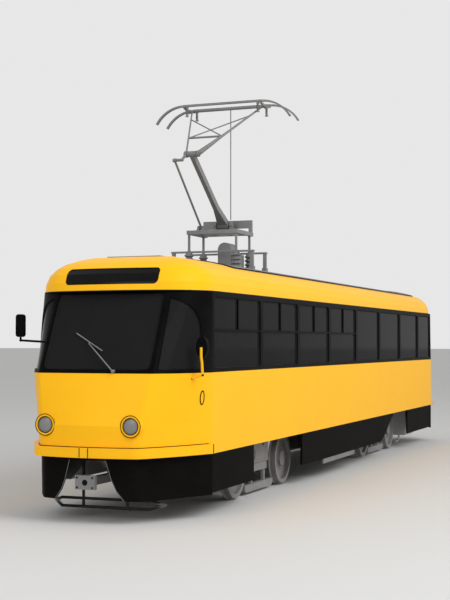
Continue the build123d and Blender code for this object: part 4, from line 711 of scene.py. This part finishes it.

# %% [markdown]
# ## Oval markers
# Each front corner carries an upright oval, ringed by a thin dark line of painted shade where it
# meets the panel. A round disc would need bending to lie on the curved panel, so a flat ellipse is
# made as seen from the side, and each of its points is then moved out to the skin. The line of
# shade follows the same points.

# %% Markers
marker_x = 6.025
marker_z = 1.387
marker_half = (0.033, 0.078)
marker_stand = 0.0020
gap_shade_loops = []
bm = bmesh.new()
for side in (1, -1):
    lay = Matrix.Translation((marker_x, 0, marker_z)) @ Matrix.Rotation(pi / 2, 4, "X")
    lay = lay @ Matrix.Diagonal((*marker_half, 1.0, 1.0))
    made = bmesh.ops.create_circle(bm, cap_ends=True, segments=40, radius=1.0, matrix=lay)
    for vert in made["verts"]:
        vert.co.y = side * (corner_y(FRONT_PANEL, vert.co.x, vert.co.z) + marker_stand)
    gap_shade_loops.append([vert.co.copy() for vert in made["verts"]])
tubes("marker_rims", gap_shade_loops, 0.0070, "gap_shade_brown")
piece("marker_plates", bm, "yellow_paint")
print("markers lie at Y", round(gap_shade_loops[0][0].y, 3))

# %% [markdown]
# ## Lines round the headlamps
# A thin dark line shows where the bezel meets the panel, and another where the glass meets the
# bezel, as painted shade of those gaps. Real gaps would be cut into the solids. Fine rings of
# painted shade look the same from a few metres.


# %% Headlamp gap shade
def ring(x, y, z, radius, steps):
    """Points round an upright circle that faces along the car."""
    turns = [2 * pi * i / steps for i in range(steps)]
    return [(x, y + radius * cos(a), z + radius * sin(a)) for a in turns]


lamp_x = 6.8375
lamp_y = 0.532
lamp_z = 1.093
gap_shade_loops = [ring(lamp_x, side * lamp_y, lamp_z, radius, 48) for side in (1, -1) for radius in (0.0905, 0.1215)]
tubes("headlamp_rims", gap_shade_loops, 0.0040, "gap_shade_brown")
print(len(gap_shade_loops), "headlamp rims")

# %% [markdown]
# ## The mirror's bar
# The near mirror stands on a yellow bar. Its solid has a plain black bar, so a yellow strip covers
# the foot of that one, bends forward and ends on the mirror's front. A smooth curve through a few
# points would bulge between them. Small steps at the bends keep the rest straight.

# %% Mirror bar
bar = [(6.215, 1.010, 1.615), (6.215, 1.115, 1.646), (6.215, 1.131, 1.653), (6.216, 1.135, 1.672)]
bar += [(6.235, 1.135, 1.800), (6.252, 1.135, 1.840), (6.256, 1.135, 1.870), (6.256, 1.135, 1.965)]
tubes("mirror_bar", [bar], 0.0150, "yellow_paint", closed=False, resolution=4)
print("mirror bar rises to", bar[-1][2])

# %% [markdown]
# ## Lifeguard
# The lifeguard is the low black frame that pushes things off the rails. Its two bars meet at each
# side in a steel tip. The tip is two short rods and a ball over their joint, which hides the
# seam that a mitred tube would need.

# %% Lifeguard tips
guard_x = 6.375
guard_y = 0.556
guard_bars = (0.130, 0.225)
tip_x = 6.256
tip_y = 0.699
tip_z = 0.1775
bm = bmesh.new()
for side in (1, -1):
    tip = Vector((tip_x, side * tip_y, tip_z))
    for z in guard_bars:
        rod(bm, (guard_x - 0.001, side * guard_y, z), tip, 0.0185, 14)
    place = Matrix.Translation(tip)
    bmesh.ops.create_uvsphere(bm, u_segments=14, v_segments=8, radius=0.0188, matrix=place)
piece("lifeguard_tips", bm, "plate_grey", smooth=True)
print("tips stand at Y", tip_y)

# %% [markdown]
# ## Coupler plates
# In each apron's mouth hangs an oblong plate with the coupler's eye, held by four bolts. A dark
# plug of painted shade makes the eye read as deep. The bolts are six-sided rods, so nothing has to be cut.

# %% Coupler bolts and the eye's painted shade
coupler_z = 0.466
coupler_face = 6.889
bolt_places = [(y, coupler_z + z) for y in (-0.095, 0.095) for z in (-0.055, 0.055)]
bm = bmesh.new()
for facing in (1, -1):
    # The plug is painted shade that fills the coupler's eye.
    rod(bm, (facing * 6.800, 0, coupler_z), (facing * 6.8905, 0, coupler_z), 0.033, 28)
    for y, z in bolt_places:
        rod(bm, (facing * coupler_face, y, z), (facing * (coupler_face + 0.010), y, z), 0.011, 6)
piece("coupler_bolts_and_eye_shade", bm, "sign_black")
print("each coupler plate has", len(bolt_places), "bolts and a plug")

# %% [markdown]
# ## Edges of the apron's mouth
# The mouth in the front apron flares downwards, and its edge catches the light. A bevel on the
# solid would be too narrow to see, so a fine grey strip runs down the edge as a painted highlight.
# It is drawn as seen from the front, cut into short steps so that it can follow the curved apron.

# %% Mouth edges
mouth = [(0.224, 0.711), (0.290, 0.490), (0.345, 0.370), (0.430, 0.262)]
edge = []
for (y1, z1), (y2, z2) in zip(mouth, mouth[1:]):
    edge += [(y1 + (y2 - y1) * i / 6, z1 + (z2 - z1) * i / 6) for i in range(6)]
edge.append(mouth[-1])
paths = [[(nose_x(APRON, y, z) - 0.001, side * y, z) for y, z in edge] for side in (1, -1)]
# The grey strip is a painted highlight along the mouth's edge.
tubes("mouth_edges", paths, 0.0035, "plate_grey", closed=False)
print(len(edge), "points down each edge")

# %% [markdown]
# ## Seams of the bumpers
# Each bumper is a band that wraps the corners. Thin dark lines show where it meets the panel above
# it, where the front one ends on the side walls, and the two gaps beside its middle block. Cut
# gaps would be truer, but only their shade is seen. The lines along the top follow the same arcs
# as the panel, and the short ones take their place from the bumper's own mesh.

# %% Bumper seams
bumper_top = 0.852
bumper_low = 0.746
bumper_end = 5.880
rear_bumper_end = 6.560
paths = []
for band, facing, start in ((FRONT_BUMPER, 1, bumper_end), (REAR_BUMPER, -1, rear_bumper_end)):
    corner = [p for p in corner_strip(band, bumper_top) if p.x >= start]
    across = [corner[-1].y * (1 - i / 12) for i in range(1, 13)]
    half = corner + [Vector((nose_x(band, y, bumper_top), y)) for y in across]
    whole = [(p.x, p.y) for p in half] + [(p.x, -p.y) for p in reversed(half[:-1])]
    paths.append([(facing * (x + 0.002), y, bumper_top + 0.001) for x, y in whole])
bumper_points = [vert.co for vert in nodes["front_bumper"].data.vertices]
end_face = max(point.y for point in bumper_points if point.x < bumper_end + 0.01)
nose_face = max(point.x for point in bumper_points)
gap_half = 0.053
for side in (1, -1):
    paths.append([(bumper_end, side * end_face, z) for z in (bumper_low, bumper_top - 0.002)])
    paths.append([(nose_face - 0.002, side * gap_half, z) for z in (bumper_low, bumper_top - 0.002)])
tubes("bumper_seams", paths, 0.0060, "gap_shade_brown", closed=False)
print("bumper ends at", round(end_face, 3), "nose", round(nose_face, 3))

# %% [markdown]
# ## Door leaves
# Each leaf is a thin frame round a tall pane. A rubber lip follows the pane inside its recess, on
# both faces, so it turns with the leaf. The box of each leaf's solid says where its pane is, which
# saves a list of twelve places.

# %% Door rubbers
leaf_frame = 0.038
leaf_lip = 0.004
leaf_corner = 0.024
leaf_step = 0.0055
leaves = [name for name in nodes if name.endswith("_leaf")]
for name in leaves:
    low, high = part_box(name)
    sides = (low[0] + leaf_frame, high[0] - leaf_frame)
    outline = window_path(*sides, leaf_pane_low, leaf_pane_high, leaf_corner, leaf_lip, steps=3)
    faces = [[(x, leaf_plane + step, z) for x, z in outline] for step in (-leaf_step, leaf_step)]
    tubes(name + "_rubber", faces, leaf_lip, "rubber_black", name + "_body")
print(len(leaves), "door leaves have rubbers")

# %% [markdown]
# ## Wheel bolts
# A resilient tram wheel has a ring of bolts that clamps its rubber between two discs. Each bolt is
# a six-sided head with the end of its stud in it. They belong to the wheelset's body and turn with
# it, which also makes the turning seen.

# %% Wheel bolts
bogies = {"front_bogie": 3.275, "rear_bogie": -3.125}
half_wheelbase = 0.95
axle_z = 0.375
web_y = 0.743
bolt_ring = 0.150
for bogie, pivot in bogies.items():
    for end, x in (("leading", pivot + half_wheelbase), ("trailing", pivot - half_wheelbase)):
        bm = bmesh.new()
        for side in (1, -1):
            foot, head, stud = (side * (web_y + rise) for rise in (-0.004, 0.014, 0.024))
            for i in range(8):
                angle = 2 * pi * i / 8
                bolt_x, bolt_z = x + bolt_ring * cos(angle), axle_z + bolt_ring * sin(angle)
                rod(bm, (bolt_x, foot, bolt_z), (bolt_x, head, bolt_z), 0.014, 6)
                rod(bm, (bolt_x, head, bolt_z), (bolt_x, stud, bolt_z), 0.007, 8)
        wheelset = f"{bogie}_{end}_wheelset"
        piece(wheelset + "_bolts", bm, "bogie_grey", wheelset + "_body")
print("bolts stand on a ring of", bolt_ring, "m")

# %% [markdown]
# ## Main springs
# The bogie's main springs are coils round rubber blocks. A Screw modifier could wind a coil, but
# its path is just a helix: two numbers turn and the third rises.


# %% Coil springs
def helix(x, y, radius, low, high, turns, steps=16):
    """Points of an upright coil."""
    total = turns * steps
    around = [2 * pi * i / steps for i in range(total + 1)]
    rise = (high - low) / total
    return [(x + radius * cos(a), y + radius * sin(a), low + rise * i) for i, a in enumerate(around)]


spring_x = 0.130
spring_y = 0.610
for bogie, pivot in bogies.items():
    places = [(pivot + x, side * spring_y) for x in (-spring_x, spring_x) for side in (1, -1)]
    coils = [helix(x, y, 0.094, 0.402, 0.558, 5) for x, y in places]
    tubes(bogie + "_coils", coils, 0.0115, "bogie_grey", bogie, closed=False)
print(len(coils), "coils on each bogie")

# %% [markdown]
# ## Spring guards
# A pressed plate covers each side of a bogie between its wheels, with two hooks of bent wire. Two
# insets make the pressing: one marks a border, the next lifts the field inside it. The press's
# rounded steps could be modelled too, but they would not show at this size.

# %% Spring guards and hooks
guard_half = 0.440
guard_inner, guard_outer = 0.736, 0.748
guard_low, guard_high = 0.3905, 0.830
hook_y = 0.757
hook = [(-0.030, 0.075), (-0.022, -0.045), (0.028, -0.045), (0.028, 0.040), (0.045, 0.040)]
for bogie, pivot in bogies.items():
    bm = bmesh.new()
    hooks = []
    for side in (1, -1):
        y1, y2 = sorted((side * guard_inner, side * guard_outer))
        block(bm, (pivot - guard_half, y1, guard_low), (pivot + guard_half, y2, guard_high))
        for x, z in ((-0.20, 0.66), (0.16, 0.50)):
            hooks.append([(pivot + x + dx, side * hook_y, z + dz) for dx, dz in hook])
    middle = (guard_inner + guard_outer) / 2
    flat = [face for face in bm.faces if abs(face.normal.y) > 0.9]
    outward = [face for face in flat if abs(face.calc_center_median().y) > middle]
    bmesh.ops.inset_individual(bm, faces=outward, thickness=0.055, depth=0.0)
    bmesh.ops.inset_individual(bm, faces=outward, thickness=0.012, depth=0.008)
    piece(bogie + "_spring_guards", bm, "bogie_grey", bogie)
    tubes(bogie + "_hooks", hooks, 0.0055, "cast_black", bogie, closed=False)
print(len(outward), "guards and", len(hooks), "hooks on each bogie")

# %% [markdown]
# ## Inside the saloon
# Two rows of light strips hang from the ceiling on short stems and show faintly through the
# windows. Each is a box with its edges rounded off. A real one has a moulded cover, which can't be
# told from this through tinted glass.

# %% Ceiling lights
light_pitch = 1.25
first_light = 3.9
light_half = 0.50
light_width = 0.06
light_level = 2.74
ceiling = light_level + 0.20
stem_x = 0.4
bm = bmesh.new()
for y in (-0.42, 0.42):
    for i in range(8):
        x = first_light - i * light_pitch
        low = (x - light_half, y - light_width, light_level)
        block(bm, low, (x + light_half, y + light_width, light_level + 0.06))
        for stem in (x - stem_x, x + stem_x):
            rod(bm, (stem, y, light_level + 0.05), (stem, y, ceiling), 0.012, 8)
piece("ceiling_lights", bm, "light_strip", round_off=0.012)
print("ceiling lights hang at", light_level)

# %% [markdown]
# ## Carbon strips
# The wire rubs on a carbon strip along each skid of the pantograph's head, with a few clips that
# hold it. The strips are 4 mm thin and lie on the skids, so they may stand just over the solid.

# %% Carbon strips
head_x = 2.485
skid_x = 0.190
skid_top = 5.465
skid_half = 0.600
skids = (head_x - skid_x, head_x + skid_x)
strip_foot = skid_top - 0.0005
bm = bmesh.new()
for x in skids:
    block(bm, (x - 0.020, -skid_half, strip_foot), (x + 0.020, skid_half, skid_top + 0.0040))
    for y in (-0.40, 0.0, 0.40):
        block(bm, (x - 0.0245, y - 0.010, strip_foot), (x + 0.0245, y + 0.010, skid_top + 0.0045))
piece("carbon_strips", bm, "carbon", "panto_head")
print("carbon lies on skids at X", [round(x, 3) for x in skids])

# %% [markdown]
# ## Springs under the skids
# Each skid floats on two hangers, a pin with a disc at both ends and a fine spring round it. They
# ride on the head, so they stay upright when the levelled head rises.

# %% Hangers and springs
hanger_y = 0.545
disc_low, disc_high = 5.415, 5.443
pin_foot = 5.300
bm = bmesh.new()
coils = []
for y in (hanger_y, -hanger_y):
    for x in skids:
        rod(bm, (x, y, disc_high), (x, y, disc_low), 0.022, 16)
        rod(bm, (x, y, disc_low), (x, y, pin_foot), 0.009, 10)
        rod(bm, (x, y, pin_foot + 0.012), (x, y, pin_foot - 0.004), 0.024, 16)
        coils.append(helix(x, y, 0.017, 5.316, 5.412, 7, 12))
piece("head_hangers", bm, "mast_grey", "panto_head")
tubes("head_springs", coils, 0.0038, "mast_grey", "panto_head", closed=False, resolution=1)
print(len(coils), "springs under the skids")

# %% [markdown]
# ## The rope
# A rope runs straight down from the head's tube to the base frame: pulled from below, it lowers
# the pantograph. A real rope would go slack and pile up as the head comes down. This one hangs
# from the head and moves with it as one straight piece.

# %% Lowering rope
rope_y = 0.060
rope_foot = (head_x, rope_y, 3.790)
rope_top = (head_x, rope_y, 5.386)
rope = tubes("lowering_rope", [[rope_foot, rope_top]], 0.0080, "mast_grey", "panto_head", closed=False)
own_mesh(rope)
print("rope is", round(rope_top[2] - rope_foot[2], 3), "m long")

# %% [markdown]
# ## Insulator caps
# Each of the four insulators ends in a metal collar below the base frame and a bolt with its nut
# above it. All three are rods of different width on one axis, so a small table of their lower and
# upper ends, radii and sides is enough.

# %% Insulator caps
insulator_y = 0.355
nut = (3.3062, 3.3140, 0.030, 6)
bolt = (3.3140, 3.3230, 0.014, 10)
collar = (3.252, 3.2818, 0.048, 20)
bm = bmesh.new()
for x in (2.510, 3.050):
    for y in (insulator_y, -insulator_y):
        for low, high, radius, sides in (nut, bolt, collar):
            rod(bm, (x, y, low), (x, y, high), radius, sides)
piece("insulator_caps", bm, "mast_grey")
print("caps on four insulators, at Y", insulator_y)

# %% [markdown]
# ## Roof
# The roof mat is a strip of ribbed rubber that lets a fitter walk up there. Thin ribs lie along
# both of its sides, and a bead runs round its edge. The mat is an arc across the car, so one
# circle gives the height of every rib. Ribs by a bump alone would vanish from low angles.

# %% Roof mat ribs
mat_crown = 3.096
mat_edge = 2.970
mat_half = 0.860
mat_front = 4.455
mat_rear = -5.860
rib_margin = 0.04
first_rib = 0.640
rib_pitch = 0.024
mat_centre, mat_radius = circle_through((-mat_half, mat_edge), (0.0, mat_crown), (mat_half, mat_edge))


def mat_height(y):
    """How high the mat's top is at one distance from the middle."""
    return mat_centre.y + (mat_radius**2 - y**2) ** 0.5


ribs = []
for i in range(9):
    for side in (1, -1):
        y = side * (first_rib + rib_pitch * i)
        ribs.append([(x, y, mat_height(y)) for x in (mat_rear + rib_margin, mat_front - rib_margin)])
tubes("roof_mat_ribs", ribs, 0.0035, "roof_grey", closed=False, resolution=1)
across = [mat_half * (1 - i / 12) for i in range(25)]
bead = [(mat_front, y, mat_height(y)) for y in across] + [(mat_rear, -y, mat_height(y)) for y in across]
tubes("roof_mat_bead", [bead], 0.009, "rubber_black")
print(len(ribs), "ribs")

# %% [markdown]
# ## Skirts
# The middle skirt is made of two panels, so it shows one slanting seam, and a grey steel foot
# hangs under it on the left, between the bogies. The foot is a plain bar with rounded edges, set
# 0.3 mm under the skirt. Both take the skirt's face from the box of its solid.

# %% Skirt seam and foot
skirt_low, skirt_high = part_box("skirts")
skirt_face = skirt_high[1]
seam = [(1.700, skirt_face - 0.0015, 0.728), (1.300, skirt_face - 0.0015, 0.283)]
# The seam is a line of painted shade between the two panels.
tubes("skirt_seam", [seam], 0.0030, "gap_shade_brown", closed=False)
foot_front = 1.265
foot_rear = -0.490
foot_low = 0.207
foot_high = skirt_low[2] - 0.0003
bm = bmesh.new()
block(bm, (foot_rear, skirt_face - 0.028, foot_low), (foot_front, skirt_face - 0.004, foot_high))
piece("skirt_foot", bm, "plate_grey", round_off=0.004)
print("skirt face at", round(skirt_face, 4), "down to", round(skirt_low[2], 4))

# %% [markdown]
# ## Sand box
# Behind the rear bogie the picture shows a grey case on the left: the box that holds sand for the
# rails. It hangs under the floor, with a pressed panel and two clasps on its outer side and a pipe
# that bends towards the wheel. Two insets sink the panel, as they raised the spring guards.

# %% Sand box and pipe
sand_rear, sand_front = -5.780, -5.080
sand_inner, sand_outer = 0.600, 0.870
sand_low, sand_high = 0.190, 0.8447
clasp_half = 0.02
clasp_low, clasp_high = 0.620, 0.680
pipe_y = 0.735
bm = bmesh.new()
block(bm, (sand_rear, sand_inner, sand_low), (sand_front, sand_outer, sand_high))
panel = [face for face in bm.faces if face.normal.y > 0.9]
bmesh.ops.inset_individual(bm, faces=panel, thickness=0.035, depth=0.0)
bmesh.ops.inset_individual(bm, faces=panel, thickness=0.010, depth=-0.008)
for x in (sand_rear + 0.10, sand_front - 0.10):
    low = (x - clasp_half, sand_outer - 0.001, clasp_low)
    block(bm, low, (x + clasp_half, sand_outer + 0.010, clasp_high))
# The box and its pipe get a grey far paler than their own, as painted light against the shade under the
# floor.
piece("sand_box", bm, "shade_lifted_grey", round_off=0.006)
bend = ((-0.060, sand_low + 0.01), (-0.055, 0.165), (-0.030, 0.125), (0.060, 0.090), (0.200, 0.070))
pipe = [(sand_front + ahead, pipe_y, z) for ahead, z in bend]
tubes("sand_pipe", [pipe], 0.018, "shade_lifted_grey", closed=False)
print("sand box hangs down to", sand_low)

# %% [markdown]
# ## Tail lamps
# A red lamp sits low on each side of the rear. It gets one thin dark rim of painted shade, where
# its housing meets the panel. It is the same job as on the headlamps, so the same `ring` does it.

# %% Tail lamp gap shade
tail_x = -6.8815
tail_y = 0.600
gap_shade_loops = [ring(tail_x, side * tail_y, lamp_z, 0.0635, 36) for side in (1, -1)]
tubes("tail_lamp_rims", gap_shade_loops, 0.0045, "gap_shade_brown")
print(len(gap_shade_loops), "tail lamp rims")

# %% [markdown]
# ## Floor
# A pale floor that runs to the horizon lets the dark parts stand out and shows the car's shadow.
# It is one large square. A curved studio backdrop would do as well, but it would need turning for
# every view.

# %% Floor
floor_book = Book("pale_floor")
floor_book.set(Base_Color=(0.62, 0.62, 0.61), Roughness=0.85)
bm = bmesh.new()
bmesh.ops.create_grid(bm, x_segments=1, y_segments=1, size=400.0)
floor_mesh = bpy.data.meshes.new("studio_floor")
bm.to_mesh(floor_mesh)
bm.free()
floor = bpy.data.objects.new("studio_floor", floor_mesh)
floor_mesh.materials.append(floor_book.material)
scene.collection.objects.link(floor)
print("floor reaches", max(vert.co.x for vert in floor_mesh.vertices), "m ahead")

# %% [markdown]
# ## Sky
# The sky lights the car evenly from all sides, at 0.62. Rays from the camera, and those that gloss
# and glass send on, see it at 0.80 instead, so the background is paler while the soft light on the
# car stays as it is. A maximum of the three ray types works as an "or".

# %% Sky
world = bpy.data.worlds.new("sky")
scene.world = world
world.use_nodes = True
sky = world.node_tree
rays = sky.nodes.new("ShaderNodeLightPath")
shown = rays.outputs["Is Camera Ray"]
for kind in ("Is Glossy Ray", "Is Transmission Ray"):
    either = sky.nodes.new("ShaderNodeMath")
    either.operation = "MAXIMUM"
    sky.links.new(shown, either.inputs[0])
    sky.links.new(rays.outputs[kind], either.inputs[1])
    shown = either.outputs[0]
level = sky.nodes.new("ShaderNodeMix")
level.inputs[2].default_value = 0.62
level.inputs[3].default_value = 0.80
sky.links.new(shown, level.inputs[0])
background = sky.nodes["Background"]
background.inputs["Color"].default_value = (1.0, 1.0, 1.0, 1.0)
sky.links.new(level.outputs[0], background.inputs["Strength"])
print("sky has", len(sky.nodes), "nodes")

# %% [markdown]
# ## Lamps
# A large lamp high on the left gives the soft shadow. A weaker one further back reaches the rear
# half of the side, which the first one only grazes, and one from ahead lifts the nose. Square area
# lamps are used, because a point lamp would cast a hard shadow. Together with the sky they give a
# level at which a colour renders about as it is written.


# %% Lamps
def area_lamp(name, place, target, size, power):
    """A soft square lamp that looks at a point."""
    data = bpy.data.lights.new(name, "AREA")
    data.size = size
    data.energy = power
    lamp = bpy.data.objects.new(name, data)
    lamp.location = place
    lamp.rotation_euler = (Vector(target) - Vector(place)).to_track_quat("-Z", "Y").to_euler()
    scene.collection.objects.link(lamp)


area_lamp("key_lamp", (9.0, 16.0, 15.0), (0.0, 0.0, 1.5), 12.0, 2700.0)
area_lamp("side_lamp", (-9.0, 17.0, 7.0), (-4.5, 0.0, 1.2), 9.0, 420.0)
area_lamp("front_lamp", (22.0, -3.0, 9.0), (3.0, 0.0, 1.5), 9.0, 700.0)
print(len(bpy.data.lights), "lamps")
